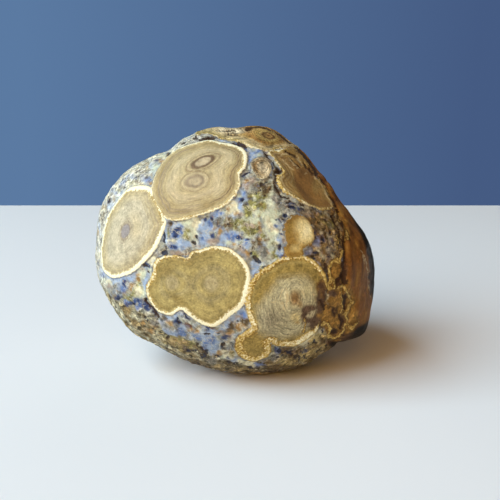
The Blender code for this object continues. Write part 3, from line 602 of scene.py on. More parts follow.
# Bands go from the nuclei, 0, to the rim, 1. Rims are (bearing, width, gold) where gold goes
# from cream, 0, to 1. A nucleus is an oval, given all its numbers, and its halo: (distance
# from its edge, colour, cover). A line is (distance in from the edge, half width, colour,
# cover, the bearing of its middle, and how far it reaches from there). Washes are soft
# patches with a colour, and a heart is an inner outline with its colour, its softness and how
# ringed it is. Grit is how strongly it is mottled, and bearings are degrees from the right.
# A place in an outline is seen (right, rise) or, past the horizon, a way (right, rise, near)
# out from the middle. The centre is where the orb's flat map is drawn from.
ORBS = [
    {  # high in the middle, with two nuclei
        "centre": (-7.56, 15.96),
        "outline": [
            (-8, 24.3), (-5.8, 24.7), (-3.6, 24.2), (-0.9, 23.8), (0.9, 23.2), (2, 22.3),
            (2.5, 21.1), (2.2, 18.7), (1.1, 17.6), (0.8, 16.7), (1, 15.6), (0.8, 14.2),
            (-0.7, 11.6), (-4, 9.4), (-10.9, 7.2), (-13.1, 6.9), (-15.1, 7.1), (-16.2, 7.8),
            (-16.9, 9.1), (-17.8, 10.4), (-18.7, 13.8), (-16.7, 19.1), (-14, 21.9),
        ],
        "bands": [(0, DEEP_TAN), (0.12, TAN), (0.35, PALE_TAN), (0.55, TAN), (0.78, DEEP_TAN),
                  (0.86, TAN), (1, PALE_TAN)],
        "nuclei": [
            (
                (-7.3, 20.0, 1.75, 0.85, 26),
                [(-1, PALE_CORE, 1), (-0.1, PALE_CORE, 1), (0.08, MAUVE_BROWN, 1),
                 (0.38, MAUVE_BROWN, 0.9), (0.55, TAN, 0.9), (0.75, PALE_TAN, 0.8),
                 (0.88, MAUVE_BROWN, 0.75), (1.08, TAN, 0)],
            ),
            (
                (-9.1, 15.6, 1.45, 1.0, 10),
                [(-1, PALE_CORE, 1), (-0.3, PALE_CORE, 0.9), (0.0, MAUVE, 0.8), (0.3, MAUVE, 0.6),
                 (0.5, PALE_TAN, 0.8), (0.85, PALE_TAN, 0.8), (1.0, MAUVE_BROWN, 0.55), (1.2, TAN, 0)],
            ),
        ],
        "lines": [(1.75, 0.12, MAUVE_BROWN, 1, 0, 85), (2.2, 0.12, DEEP_TAN, 0.8, -5, 70),
                  (1.5, 0.16, MAUVE, 0.8, 180, 95), (2.1, 0.14, MAUVE, 0.7, 200, 80),
                  (1.25, 0.1, MAUVE_BROWN, 0.6, 20, 60), (1.0, 0.16, DEEP_TAN, 0.6, 0, 100),
                  (3.0, 0.14, DEEP_TAN, 0.5, 200, 80), (3.7, 0.12, MAUVE, 0.35, 250, 80)],
        "washes": [(-10.5, 10.5, 4.5, 2.2, -15, PALE_TAN), (-14.8, 14.5, 1.8, 3.5, PALE_TAN),
                   (-4, 14, 2.5, 3.5, PALE_TAN)],
        "rim": [(0, 0.4, 0.25), (30, 0.85, 0.1), (60, 0.75, 0.1), (88, 0.5, 0.1), (112, 0.45, 0.15),
                (130, 0.3, 0.3), (150, 0.1, 0.4), (180, -0.1, 0.4), (215, 0.3, 0.3),
                (270, 0.42, 0.25), (320, 0.45, 0.3)],
        "ringed": 0.6,
        "grit": 0.22,
    },
    {  # at the left
        "centre": (-22.72, 4.99),
        "outline": [
            (-22.7, 14.4), (-20.9, 14.7), (-19.1, 14.4), (-18.4, 13.6), (-18, 12), (-17.3, 10.7),
            (-16, 7.6), (-15.4, 6.7), (-15.8, 4.9), (-17.3, 1.3), (-19.8, -1.9), (-23.1, -4.7),
            (-26.7, -5.8), (-28.1, -5.3), (-29.2, -4.2), (-29.7, -2.4), (-29.6, 2), (-28.7, 6.9),
            (-27.9, 8.7), (-24.9, 13),
        ],
        "bands": [(0, BEIGE), (0.5, BEIGE), (0.85, TAN), (1, DEEP_TAN)],
        "nuclei": [
            (
                (-24.5, 4.6, 1.5, 1.15, 62),
                [(-1, LILAC, 1), (-0.1, LILAC, 1), (0.05, MAUVE_BROWN, 0.8), (0.25, BEIGE, 0.9),
                 (0.4, MAUVE_BROWN, 0.6), (0.6, BEIGE, 0.6), (0.85, MAUVE, 0.5), (1.1, BEIGE, 0)],
            ),
        ],
        "lines": [(1.6, 0.14, MAUVE, 0.6, 10, 80), (2.2, 0.12, DEEP_TAN, 0.6, 0, 90),
                  (1.1, 0.14, MAUVE, 0.5, 200, 110), (2.9, 0.12, DEEP_TAN, 0.4, 30, 100)],
        "washes": [(-22.5, 5.5, 3, 4.5, PALE_TAN)],
        "rim": [(0, 0.8, 0), (15, 0.4, 0.25), (50, 0.35, 0.3), (68, 1.0, 0.05), (88, 1.1, 0.05),
                (110, 0.7, 0.15), (180, 0.75, 0.15), (250, 0.7, 0.05), (300, 0.9, 0),
                (340, 0.95, 0)],
        "ringed": 0.4,
        "grit": 0.4,
    },
    {  # low at the left, lobed and honey-coloured
        "centre": (-9.32, -7.38),
        "outline": [
            (-19.8, -7.3), (-19.8, -8.9), (-19.3, -10.4), (-17.6, -12.8), (-16.2, -13.6),
            (-14.7, -14), (-13.6, -13.7), (-12.7, -13), (-11.8, -12.9), (-10.9, -13.7),
            (-8.2, -15.6), (-6.7, -16.3), (-5.1, -16.6), (-3.6, -16), (-0.4, -13.6), (0.9, -12.7),
            (2, -10.9), (3.1, -6.7), (3.1, -4.4), (2.4, -2.7), (1.1, -1.1), (-1.6, 0.8),
            (-5.3, 1.2), (-8.7, 0.2), (-10, -0.1), (-10.8, -1.3), (-13.1, -0.8), (-14.9, -0.7),
            (-16.7, -1.2), (-17.8, -2), (-18.3, -3.1), (-18.4, -4.4), (-18.8, -5.6),
        ],
        "bands": [(0, GREY_HONEY), (0.2, HONEY), (0.33, GREY_HONEY), (0.5, HONEY), (0.8, HONEY),
                  (0.92, GREY_HONEY), (1, DARK_HONEY)],
        "nuclei": [
            (
                (-5.5, -7.0, 0.9, 0.9, 0),
                [(-1, GREY_HONEY, 0.7), (0, PALE_TAN, 0.4), (0.7, GREY_HONEY, 0.5), (1.2, HONEY, 0)],
            ),
            (
                (-14.2, -6.9, 0.9, 0.9, 0),
                [(-1, GREY_HONEY, 0.5), (0, PALE_TAN, 0.3), (0.7, GREY_HONEY, 0.4), (1.2, HONEY, 0)],
            ),
        ],
        # The dark lines just inside the rim are the orb's own band, deepened as painted shade beside
        # the raised rim.
        "lines": [(1.3, 0.45, DARK_HONEY, 0.6, 180, 120), (1.2, 0.25, DARK_HONEY, 0.5, 0, 110)],
        "washes": [(-15.5, -4, 3.5, 2.2, 20, DARK_HONEY), (-4.6, -6.4, 4.2, (0.38, 0.315, 0.145)),
                   (-13.2, -10.2, 3, 1.2, -20, DARK_HONEY),
                   (-0.8, -12.6, 2.4, 0.8, -30, DARK_HONEY)],
        "rim": [(0, 0.85, 0.05), (30, 0.75, 0.15), (60, 0.55, 0.3), (85, 0.5, 0.4), (105, 0.4, 0.5),
                (125, 0.4, 0.5), (150, 0.75, 0.45), (180, 0.75, 0.45), (210, 0.5, 0.25),
                (240, 0.7, 0.05), (270, 0.75, 0.15), (315, 0.9, 0.05)],
        "ringed": 0.45,
        "grit": 0.5,
    },
    {  # low at the right, with an ashen heart and a round foot
        "centre": (9.47, -13.67),
        "outline": [
            (14.2, -0.8), (16, -1.2), (17.6, -2.2), (19.9, -5.3), (19.6, -11.3), (18.7, -15.1),
            (18, -17.3), (16.9, -18.4), (13.6, -20.6), (12, -20.9), (8.7, -20.7), (7.6, -20),
            (7.8, -21.8), (7.1, -22.9), (5.8, -23.7), (4, -24.2), (2.2, -23.9), (0.7, -23),
            (-0.2, -21.6), (-0.2, -20), (0.4, -18.7), (2.9, -16.9), (3.3, -16.3), (2.9, -15.1),
            (2.3, -13.3), (2, -11.3), (2.2, -9.3), (2.9, -7.1), (4, -5.3), (5.3, -4), (7.1, -3.1),
            (10.4, -1.1),
        ],
        "bands": [(0, HONEY), (0.5, OLIVE), (0.85, OLIVE), (1, DEEP_OLIVE)],
        "nuclei": [
            (
                (13.1, -10.3, 1.2, 0.85, 90),
                [(-1, SEPIA, 0.9), (-0.4, UMBER, 0.9), (0.0, UMBER, 0.6), (0.8, HONEY, 0)],
            ),
        ],
        "lines": [(1.3, 0.3, HONEY, 0.5, 135, 90)],
        "hearts": [
            (
                [
                    (5.8, -18.2), (4.4, -16.2), (4.6, -13.8), (5.3, -11.8), (8, -8.4), (9.6, -6.4),
                    (11.1, -5.8), (13.8, -5.6), (16, -6.2), (17.3, -8), (18, -10.7), (18.2, -13.3),
                    (17.3, -15.6), (14.9, -17.6), (12, -18.9), (8.7, -19.1),
                ],
                ASH, 1.4, 1.2,
            ),
        ],
        "washes": [(10.8, -10.2, 2, 3.4, (0.68, 0.62, 0.37)),
                   (7.6, -15, 4.2, 4.4, (0.28, 0.25, 0.16)),
                   (15.6, -8.6, 1.9, 2.6, (0.50, 0.44, 0.23)),
                   (13.2, -14.6, 1.9, 2, (0.50, 0.40, 0.17)),
                   (13.6, -15.6, 0.8, 0.6, (0.24, 0.15, 0.04)), (14.2, -11.6, 0.9, 1.2, UMBER),
                   (16, -13.4, 3.2, (0.25, 0.19, 0.09)),
                   (11, -5.6, 2.6, 0.5, 10, (0.20, 0.135, 0.04)),
                   (17, -14.4, 2.2, 2.8, (0.15, 0.105, 0.055))],
        "rim": [(0, -0.4, 0.7), (20, -0.4, 0.6), (32, 0.5, 0.6), (42, 0.9, 0.6), (60, 0.75, 0.6),
                (90, 0.7, 0.55), (120, 0.95, 0.6), (150, 1.05, 0.55), (180, 1.1, 0.45),
                (205, 1.05, 0.45), (222, 1.6, 0.75), (238, 1.8, 0.65), (250, 1.5, 0.6),
                (275, 1.3, 0.55), (300, 1.8, 0.4), (318, 1.8, 0.3), (328, 1.2, 0.4),
                (335, 0.3, 0.5), (342, -0.4, 0.8)],
        "ringed": 0.25,
        "grit": 0.65,
    },
    {  # on the upper right shoulder
        "centre": (13.59, 15.97),
        "outline": [
            (7, 21.9), (8, 22.6), (9.1, 22.4), (12.2, 22.9), (13.6, 22.4), (14.9, 20.9),
            (17.1, 17.8), (17.6, 16.4), (18.9, 15.3), (19.6, 14.2), (20, 12.9), (20.7, 11.6),
            (21.3, 10.2), (20.9, 9.4), (18.9, 9.1), (17.6, 9.6), (16.2, 10), (13.6, 11.4),
            (10.4, 13.3), (9.2, 15.3), (8.9, 16.4), (9.2, 17.1), (10, 17.4), (10.3, 17.9),
            (9.8, 18.7), (7.8, 21.3),
        ],
        "bands": [(0, UMBER), (0.5, GOLD_BROWN), (0.8, GOLD_BROWN), (1, HONEY)],
        "nuclei": [((16.4, 14.4, 1.6, 3.2, 30), [(-1, UMBER, 0)])],
        "lines": [(0.9, 0.14, PALE_TAN, 0.7, 190, 80), (1.3, 0.12, SEPIA, 0.6, 190, 80),
                  (1.7, 0.14, TAN, 0.6, 190, 80), (2.1, 0.14, SEPIA, 0.6, 190, 80),
                  (2.6, 0.14, TAN, 0.5, 190, 80), (3.3, 0.2, SEPIA, 0.6, 180, 60)],
        "hearts": [
            (
                [
                    (13.3, 18), (14.9, 18.6), (16.7, 18.7), (17.2, 17.6), (17.3, 16), (16.8, 14.7),
                    (16.6, 13.1), (17.3, 12), (20.2, 11.3), (20.7, 10.2), (19.1, 9.8), (17.1, 10.2),
                    (15.3, 11.3), (14, 12.9), (13.1, 14.7), (12.9, 16.4),
                ],
                (0.275, 0.155, 0.052), 0.2, 0.15,
            ),
        ],
        "washes": [(17.6, 14.2, 1.3, 2.6, 10, (0.33, 0.235, 0.085)),
                   (12, 19.5, 3.6, 1.6, -30, (0.24, 0.15, 0.06)),
                   (18, 10.8, 3, 1, -20, (0.27, 0.15, 0.04)), (14.2, 16.8, 0.7, 1.6, 20, SEPIA),
                   (10, 21, 2.8, 0.6, -25, SEPIA), (12.6, 19.4, 2.6, 0.6, -50, SEPIA),
                   (14.6, 17.6, 1.6, 0.6, -60, SEPIA)],
        "rim": [(0, 0.2, 0.5), (18, 0.1, 0.6), (60, 0.05, 0.6), (110, 0.1, 0.5), (125, 0.45, 0.2),
                (150, 0.3, 0.4), (165, 0.45, 0.5), (180, 0.55, 0.6), (215, 0.6, 0.6),
                (245, 0.6, 0.5), (280, 0.45, 0.4), (305, 0.5, 0.5), (330, 0.4, 0.6),
                (345, 0.25, 0.5)],
        "ringed": 0.7,
        "grit": 0.4,
    },
    {  # over the top edge
        "centre": (2.57, 23.87),
        "outline": [
            (8.9, 22.7), (7.1, 22.2), (5.6, 22.4), (4, 22.9), (2.9, 23.3), (1.6, 24.1), (0, 24.6),
            (-2.2, 24.7), (-4, 25.3), (-5.6, 25.9), (-7.3, 26.1), (-8.9, 25.7), (-0.3, 0.95, 0),
            (-0.2, 0.95, -0.22), (0, 0.94, -0.32), (0.2, 0.9, -0.28), (0.42, 0.86, -0.1),
            (14, 22.4), (12, 22.9), (10.4, 22.9),
        ],
        "bands": [(0, UMBER), (0.2, GOLD_BROWN), (0.35, UMBER), (0.5, GOLD_BROWN), (0.7, FAWN),
                  (1, HONEY)],
        "nuclei": [
            (
                (7.1, 25.7, 1.1, 0.75, 0),
                [(-1, SEPIA, 1), (-0.5, SEPIA, 1), (-0.3, GOLD_BROWN, 0.9), (-0.05, SEPIA, 1),
                 (0.2, SEPIA, 0.9), (0.45, HONEY, 0.7), (1.0, OLIVE, 0.5), (1.5, OLIVE, 0)],
            ),
        ],
        "lines": [(1.3, 0.25, PALE_TAN, 0.5, 270, 90), (2.4, 0.2, SEPIA, 0.5, 270, 90)],
        "washes": [(-1, 27, 5.5, 1.4, (0.56, 0.48, 0.31)), (-2.6, 27, 2.6, 1, CREAM_TAN),
                   (0.6, 26.6, 1.6, 0.7, CREAM_TAN), (-5.2, 27.8, 1.4, 0.7, MAUVE_BROWN),
                   (2.6, 27.3, 1.4, 0.5, SEPIA), (4.6, 27, 0.9, 0.5, GOLD_BROWN),
                   (3.4, 23.6, 3.2, 0.8, -20, FAWN), (9.6, 25.2, 1.6, 1.2, UMBER),
                   (9.8, 21.6, 2.2, 0.6, FAWN)],
        "rim": [(0, 0.2, 0.5), (60, 0.05, 0.5), (180, 0.2, 0.5), (230, 0.9, 0.1), (270, 0.6, 0.2),
                (300, 0.7, 0.1), (340, 0.3, 0.4)],
        "ringed": 1.5,
        "grit": 0.9,
    },
    {  # small, at the right, with a pale core
        "centre": (13.46, 2.89),
        "outline": [
            (13.8, 8.1), (15.6, 7.4), (16.7, 5.8), (17.4, 3.6), (16.9, 2), (14.9, 0.7),
            (14.9, -0.7), (13.8, -1.6), (12, -1.6), (10.9, -0.7), (10.6, 0.7), (11.1, 1.7),
            (10.6, 4.9), (11, 6.7), (12.2, 7.8),
        ],
        "bands": [(0, OCHRE), (0.5, (0.33, 0.20, 0.05)), (0.8, OCHRE), (1, UMBER)],
        "nuclei": [((13.0, 0.8, 0.7, 0.5, 0), [(-1, PALE_OCHRE, 0.7), (0.5, PALE_OCHRE, 0)])],
        "lines": [],
        "hearts": [
            (
                [
                    (14, 7.1), (15.6, 6.9), (16.7, 4.9), (17.1, 3.1), (16, 2), (14.4, 2),
                    (13.6, 3.1), (13.3, 5.3),
                ],
                PALE_OCHRE, 1.1, 0.2,
            ),
        ],
        "washes": [(10.9, 2.6, 1.5, 2.6, (0.27, 0.15, 0.035)),
                   (12.6, -0.6, 2.4, 0.8, (0.25, 0.14, 0.03)),
                   (15.6, 4.6, 1.3, 2.2, -15, (0.82, 0.74, 0.44)),
                   (13.6, 3.6, 0.7, 1.8, 10, (0.42, 0.28, 0.08))],
        "rim": [(0, 0.1, 1)],
        "ringed": 0.3,
        "grit": 0.45,
    },
    {  # the smallest, high up
        "centre": (5.53, 18.58),
        "outline": [
            (5.3, 21), (6.7, 20.6), (7.6, 19.4), (7.8, 18.1), (7.1, 16.7), (5.8, 16.1), (4.4, 16.7),
            (3.2, 19.1), (3.8, 20.3),
        ],
        "bands": [(0, (0.46, 0.38, 0.24)), (0.6, (0.34, 0.26, 0.14)), (0.8, (0.42, 0.35, 0.22)),
                  (1, (0.25, 0.20, 0.12))],
        "nuclei": [((5.8, 18.6, 0.6, 0.6, 0), [(-1, BEIGE, 0.8), (0.6, BEIGE, 0)])],
        "lines": [(0.9, 0.14, UMBER, 0.6, 180, 120), (0.45, 0.14, SEPIA, 0.5, 150, 100)],
        "washes": [(4.2, 18.6, 1.2, 1.6, (0.27, 0.17, 0.07)), (6.9, 17.6, 1, 1.5, 30, CREAM_TAN),
                   (5.9, 18.6, 0.5, SEPIA)],
        "rim": [(0, 0.1, 0), (90, -0.3, 0.3), (180, -0.4, 0.5), (270, 0.1, 0)],
        "ringed": 1.3,
        "grit": 1.1,
    },
]

# Orbs of the far sides: the way out to it, its radius, how ringed, and its paints outwards.
HIDDEN_ORBS = [
    ((-0.78, 0.28, -0.56), 8.0, 0.5, (BEIGE, PALE_TAN, TAN, DEEP_TAN)),
    ((-0.22, 0.50, -0.84), 7.0, 0.5, (GREY_HONEY, HONEY, GREY_HONEY, DARK_HONEY)),
    ((-0.74, -0.42, -0.52), 5.5, 0.6, (MAUVE, TAN, FAWN, DEEP_TAN)),
    ((-0.30, -0.18, -0.94), 8.5, 0.7, (ASH, BEIGE, TAN, DARK_HONEY)),
    ((0.26, 0.12, -0.96), 5.5, 0.6, (UMBER, GOLD_BROWN, OCHRE, UMBER)),
    ((0.10, -0.62, -0.78), 5.5, 0.5, (OLIVE, HONEY, OLIVE, DEEP_OLIVE)),
    ((-0.92, 0.02, -0.10), 3.0, 0.5, (PALE_OCHRE, OCHRE, OCHRE, UMBER)),
]
OUTLINE_STEPS = 4  # how finely the curve between two outline points is drawn
WASH_COVER = 0.75
MEAN_RADIUS = 25  # of the stone, about, which turns sizes into angles
OUTSKIRTS = 4  # how far past an orb its edge still matters
NO_ORB = 9.0  # the edge of an orb where there is none


def hidden_orb(way, radius, ringed, paints):
    """An orb for a hidden side, round but for two or three shallow lobes."""
    across = np.cross(way, (0, 1, 0))
    up = np.cross(across, way)
    outline = []
    for bearing in np.radians(np.arange(0, 360, 20)):
        swell = 1 + 0.12 * cos(2 * bearing + radius) + 0.08 * sin(3 * bearing + 2 * radius)
        lean = cos(bearing) * across + sin(bearing) * up
        outline.append(tuple(way + swell * radius / MEAN_RADIUS * lean))
    halo = [(-1, LILAC, 1), (0, MAUVE_BROWN, 0.8), (0.3, paints[0], 0.9), (0.6, MAUVE_BROWN, 0.5),
            (1, TAN, 0)]
    return {
        "centre": way,
        "outline": outline,
        "bands": [(0, paints[0]), (0.4, paints[1]), (0.8, paints[2]), (1, paints[3])],
        "nuclei": [((*way, 0.16 * radius, 0.11 * radius, 12 * radius), halo)],
        "lines": [(0.18 * radius, 0.14, MAUVE_BROWN, 0.6, 0, 130),
                  (0.3 * radius, 0.14, DEEP_TAN, 0.6, 180, 120)],
        "washes": [],
        "rim": [(0, 0.8, 0.1), (120, 0.5, 0.35), (240, 0.9, 0.15)],
        "ringed": ringed,
        "grit": 0.4,
    }


def rounded_outline(corners):
    """A smooth closed curve through the corners, as a finer outline."""
    before, after = np.roll(corners, 1, axis=0), np.roll(corners, -1, axis=0)
    beyond = np.roll(corners, -2, axis=0)
    curve = []
    for t in np.arange(OUTLINE_STEPS) / OUTLINE_STEPS:
        bend = 2 * before - 5 * corners + 4 * after - beyond
        swing = 3 * (corners - after) + beyond - before
        curve.append(corners + 0.5 * t * (after - before + t * (bend + t * swing)))
    return np.stack(curve, axis=1).reshape(-1, corners.shape[1])


def flat_map(centre, out):
    """A function from points of the skin to a flat map about centre, true from the centre."""
    across = RIGHT - out * (RIGHT @ out)
    across /= np.linalg.norm(across)
    up = np.cross(out, across)

    def to_map(places):
        offset = places - centre
        flat = np.stack([offset @ across, offset @ up], axis=1)
        length = np.maximum(np.linalg.norm(flat, axis=1), 1e-6)
        return flat * (np.linalg.norm(offset, axis=1) / length)[:, None]

    return to_map


def graded(value, stops):
    """Colours looked up along stops of (value, colour, ...)."""
    colours = np.array([stop[1] for stop in stops])
    at = [stop[0] for stop in stops]
    return np.stack([np.interp(value, at, channel) for channel in colours.T], axis=1)


pattern = {  # what each point knows of the nearest orb
    "edge": np.full(len(points), NO_ORB),  # how far outside it, or inside if negative
    "ring": np.zeros(len(points)),  # which ring
    "ringed": np.zeros(len(points)),  # how strong the rings are
    "rim": np.full(len(points), 0.5),  # how wide the rim is
    "gold": np.zeros(len(points)),  # and how golden
}
orb_paint = np.tile(np.array(TAN), (len(points), 1))
orb_grit = np.full(len(points), 0.2)
ring_wander = 0.22 * waves(1.5, 51.0, 2)
mottle = 0.7 * waves(1.2, 53.0, 2) + 0.4 * waves(3.0, 55.0)


def lay_orb(orb):
    """Writes one orb into the pattern wherever its edge is nearer than any before it."""
    corners = np.array([on_skin(place) for place in orb["outline"]])
    centre = on_skin(orb["centre"])
    reach = np.linalg.norm(corners - centre, axis=1).max()
    apart = np.linalg.norm(points - centre, axis=1)
    out = np.mean(outwards[apart < 0.6 * reach], axis=0)
    out /= np.linalg.norm(out)
    near = np.flatnonzero((apart < reach + OUTSKIRTS) & (outwards @ out > 0.0))
    to_map = flat_map(centre, out)
    places = to_map(points[near])
    edge = edge_distance(places, rounded_outline(to_map(corners)))
    wander = ring_wander[near]

    ovals = []
    for (*spot, half_length, half_width, turn), _ in orb["nuclei"]:
        middle = to_map(on_skin(spot)[None])[0]
        ovals.append(oval_distance(places, middle, half_length, half_width, turn))
    inside = np.maximum(-edge, 0)
    from_nucleus = np.maximum(np.min(ovals, axis=0), 0)
    share = from_nucleus / np.maximum(from_nucleus + inside, 1e-6)
    bearing = np.degrees(np.arctan2(places[:, 1], places[:, 0])) % 360

    paint = graded(share + 0.1 * wander, orb["bands"])
    paint *= 1 + orb["grit"] * (mottle[near, None] + 0.05)
    ringed = np.full(len(near), orb["ringed"])
    for outline, colour, soft, heart_ringed in orb.get("hearts", []):
        marks = to_map(np.array([on_skin(place) for place in outline]))
        core = edge_distance(places, rounded_outline(marks))
        cover = ease(core + 2 * wander, soft, -soft)
        lay(paint, cover, colour)
        lay(ringed, cover, heart_ringed)
    for *oval, colour in orb["washes"]:
        depth_in = -oval_distance(seen[near], oval[:2], *oval[2:]) / min(oval[2:4])
        lay(paint, WASH_COVER * ease(depth_in, 0, 0.9), colour)
    for inset, half_width, colour, cover, middle, span in orb["lines"]:
        turned = np.abs((bearing - middle + 180) % 360 - 180)
        fade = ease(turned, span, 0.6 * span) * cover
        lay(paint, fade * np.exp(-(((inside + wander - inset) / half_width) ** 2)), colour)
    for distance, (_, halo) in zip(ovals, orb["nuclei"]):
        out_from = distance + 0.6 * wander
        cover = np.interp(out_from, [stop[0] for stop in halo], [stop[2] for stop in halo])
        lay(paint, cover, graded(out_from, halo))

    closer = edge < pattern["edge"][near]
    near = near[closer]
    bearings = [stop[0] for stop in orb["rim"]]
    pattern["edge"][near] = edge[closer]
    pattern["ring"][near] = share[closer] * reach
    pattern["ringed"][near] = ringed[closer]
    for index, name in ((1, "rim"), (2, "gold")):
        stops = [stop[index] for stop in orb["rim"]]
        pattern[name][near] = np.interp(bearing[closer], bearings, stops, period=360)
    orb_paint[near] = paint[closer]
    orb_grit[near] = orb["grit"]


for orb in ORBS + [hidden_orb(*about) for about in HIDDEN_ORBS]:
    lay_orb(orb)

# ---------------------------------------------------------------------------------------
# Rind and iron stain
# The right side and much of the back keep the nodule's brown rind, and iron has stained the
# last orb beside it, in veins of gold and umber.
# ---------------------------------------------------------------------------------------

RIND_EDGE = [
    (60, -30), (60, 40), (20, 40), (6, 27), (8, 24), (14, 21.8), (19, 15), (21.4, 11), (22.2, 8.4),
    (23.3, 6.7), (24, 2), (24.2, -4), (25, -8), (26.1, -11), (25.8, -14), (26.6, -15.6),
    (23.8, -18.6), (22, -19.6), (20.6, -20.6), (24, -30),
]
GLOSS_EDGE = [  # the far shoulder, nearly black: dark rind with painted shade of the side turned from the light
    (24, -30), (60, -30), (60, 40), (24, 16), (24, 10.2), (25.4, 8.6), (27.2, 5), (29.2, -1),
    (30.3, -11), (29.6, -14.6), (28.6, -15.8), (27.2, -16.4), (23.9, -18.9), (20.6, -20.6),
]
IRON_EDGE = [
    (23.3, -1.1), (24.2, -4), (24.9, -7.1), (26, -8.9), (26.7, -10.9), (26.2, -13.3), (27.6, -15.1),
    (26.2, -17.1), (24.9, -18.4), (23.6, -19.4), (22.2, -20), (20.9, -19.6), (20, -18),
    (18.9, -16.7), (17.1, -15.3), (18, -13.3), (18.2, -10.7), (17.8, -6.9), (19.1, -6),
    (20.4, -6.9), (21.1, -5.6), (20.7, -3.6), (21.1, -1.6),
]
IRON_ORANGE, IRON_UMBER = (0.215, 0.113, 0.024), (0.068, 0.036, 0.02)
IRON_BRIGHT, IRON_MAUVE = (0.36, 0.20, 0.045), (0.105, 0.062, 0.036)
IRON_PALE = (0.50, 0.43, 0.25)
STAINS = [  # colour, cover, where its edge starts and is full, and its patches
    (IRON_BRIGHT, 0.85, -0.35, 0.35, [
        (23.3, 8.7, 1.3, 0.4, -75), (24.2, 6.4, 1.3, 0.4, -70), (24.7, 4.4, 1.1, 0.4, -85),
        (22.2, -11.3, 0.8, 1.3), (19.8, -14, 1.1, 1.3), (21.8, -4, 0.7, 1.8),
        (21.6, -6.9, 0.4, 1.3), (20.2, -14.9, 1.1, 0.5), (22.2, -15.3, 0.4, 1.1),
        (18.2, -14.4, 0.5, 0.7), (25.8, -13.6, 0.8, 1.6, -10), (23.1, -9.8, 0.4, 1.6),
        (23.3, -11.6, 0.4, 1.3), (24.7, -8.7, 0.4, 0.9), (23.3, -13.6, 0.7, 0.3),
        (18.9, -4.4, 0.7, 0.9), (25.3, -15.1, 0.7, 0.9),
    ]),
    (IRON_UMBER, 0.92, -0.35, 0.3, [
        (18.9, -7.4, 0.8, 1.1, 8), (19.6, -9.1, 0.7, 0.9), (19.3, -10.7, 0.6, 1.1),
        (19.1, -12, 0.4, 0.9), (16.8, -16.4, 0.6, 0.5), (16.3, -15.1, 0.3), (15.2, -14, 0.3, 0.7),
        (21.6, -9.2, 1, 0.5, -5), (23, -7, 0.8, 0.6, 10), (23.8, -5.6, 0.4, 1.1),
        (21.9, -13.6, 0.4, 1.1), (23.6, -15.6, 0.4, 1.6, -5), (21.8, -17.7, 0.8),
        (24.3, -11.3, 0.3, 1.3), (24.2, -4.4, 0.3, 2), (22.4, -12.7, 0.3, 1.3),
        (24, -18.9, 1.6, 0.5, 28), (20.9, -20, 0.7, 0.3, 20),
    ]),
    (IRON_MAUVE, 0.95, -0.4, 0.3, [
        (17.3, -15.3, 1.3, 1.4), (15.6, -13.1, 1.3), (18, -16.7, 0.9, 0.7),
        (16.2, -12.9, 1.7, 1.1, 10), (15.2, -14.2, 0.9, 1.7), (16, -15.6, 1.2, 1),
        (17, -16.4, 1.3, 1.1), (17.9, -12.7, 1.1, 0.8, -15), (18.2, -10, 0.5, 1.6),
        (21.3, -9.6, 0.9, 0.7),
    ]),
    (IRON_PALE, 0.8, -0.25, 0.2, [
        (16.8, -13.6, 1, 0.4, 40), (16.1, -14.2, 0.5, 0.3, 30), (15.7, -16.1, 0.4, 0.3),
        (15, -15.6, 0.2, 0.4), (20.2, -10.4, 0.2, 0.7),
    ]),
]
# Strokes, as (half width, points).
GOLD_VEINS = [
    (0.28, [
        (20.8, -6.7), (20.7, -5.1), (21.1, -2.4), (21.7, -1.7), (22.4, -1.6), (23.2, -2.2),
        (23.6, 0),
    ]),
    (0.4, [(19.1, -4.4), (20.1, -7.1), (20.7, -8.3)]),
    (0.25, [(21.6, -8.3), (21.9, -7.6), (21.6, -6.4), (21.1, -5.6)]),
    (0.25, [
        (22.7, -8), (23.2, -7.6), (24, -7.7), (24.6, -8.4), (24.9, -9.8), (25.4, -10.8),
        (26, -11.1), (25.3, -12), (24.7, -13.1), (23.9, -13.8),
    ]),
    (0.18, [(23.8, -8.4), (23.4, -9.8), (23.8, -11.1), (23.4, -13.6)]),
    (0.25, [(24.2, -13.1), (24.3, -14.2), (24.8, -16.4), (25.4, -16.8), (27.1, -15.7)]),
    (0.25, [(24.2, -16.4), (24, -17.4), (23.6, -18.3), (22.7, -18.9), (21.3, -19.2)]),
    (0.32, [(18.9, -16.3), (19.6, -15.7), (20.4, -15.9), (20.9, -16.9), (20.6, -19.3)]),
    (0.5, [(22.7, -2.1), (23.1, -2.2)]),
    (0.15, [(24.2, 5.8), (24.4, 4.2), (24.3, 2.7)]),
    (0.12, [(22.4, 3.6), (22.8, 1.6), (22.4, 0)]),
    (0.15, [(14.9, -17.3), (15.3, -15.8), (15.1, -14.9)]),
    (0.12, [(18.2, 16.2), (19.8, 14), (22.2, 8.9), (23.1, 6.7)]),
    (0.3, [(21.6, -19.2), (22, -19.1)]),
]
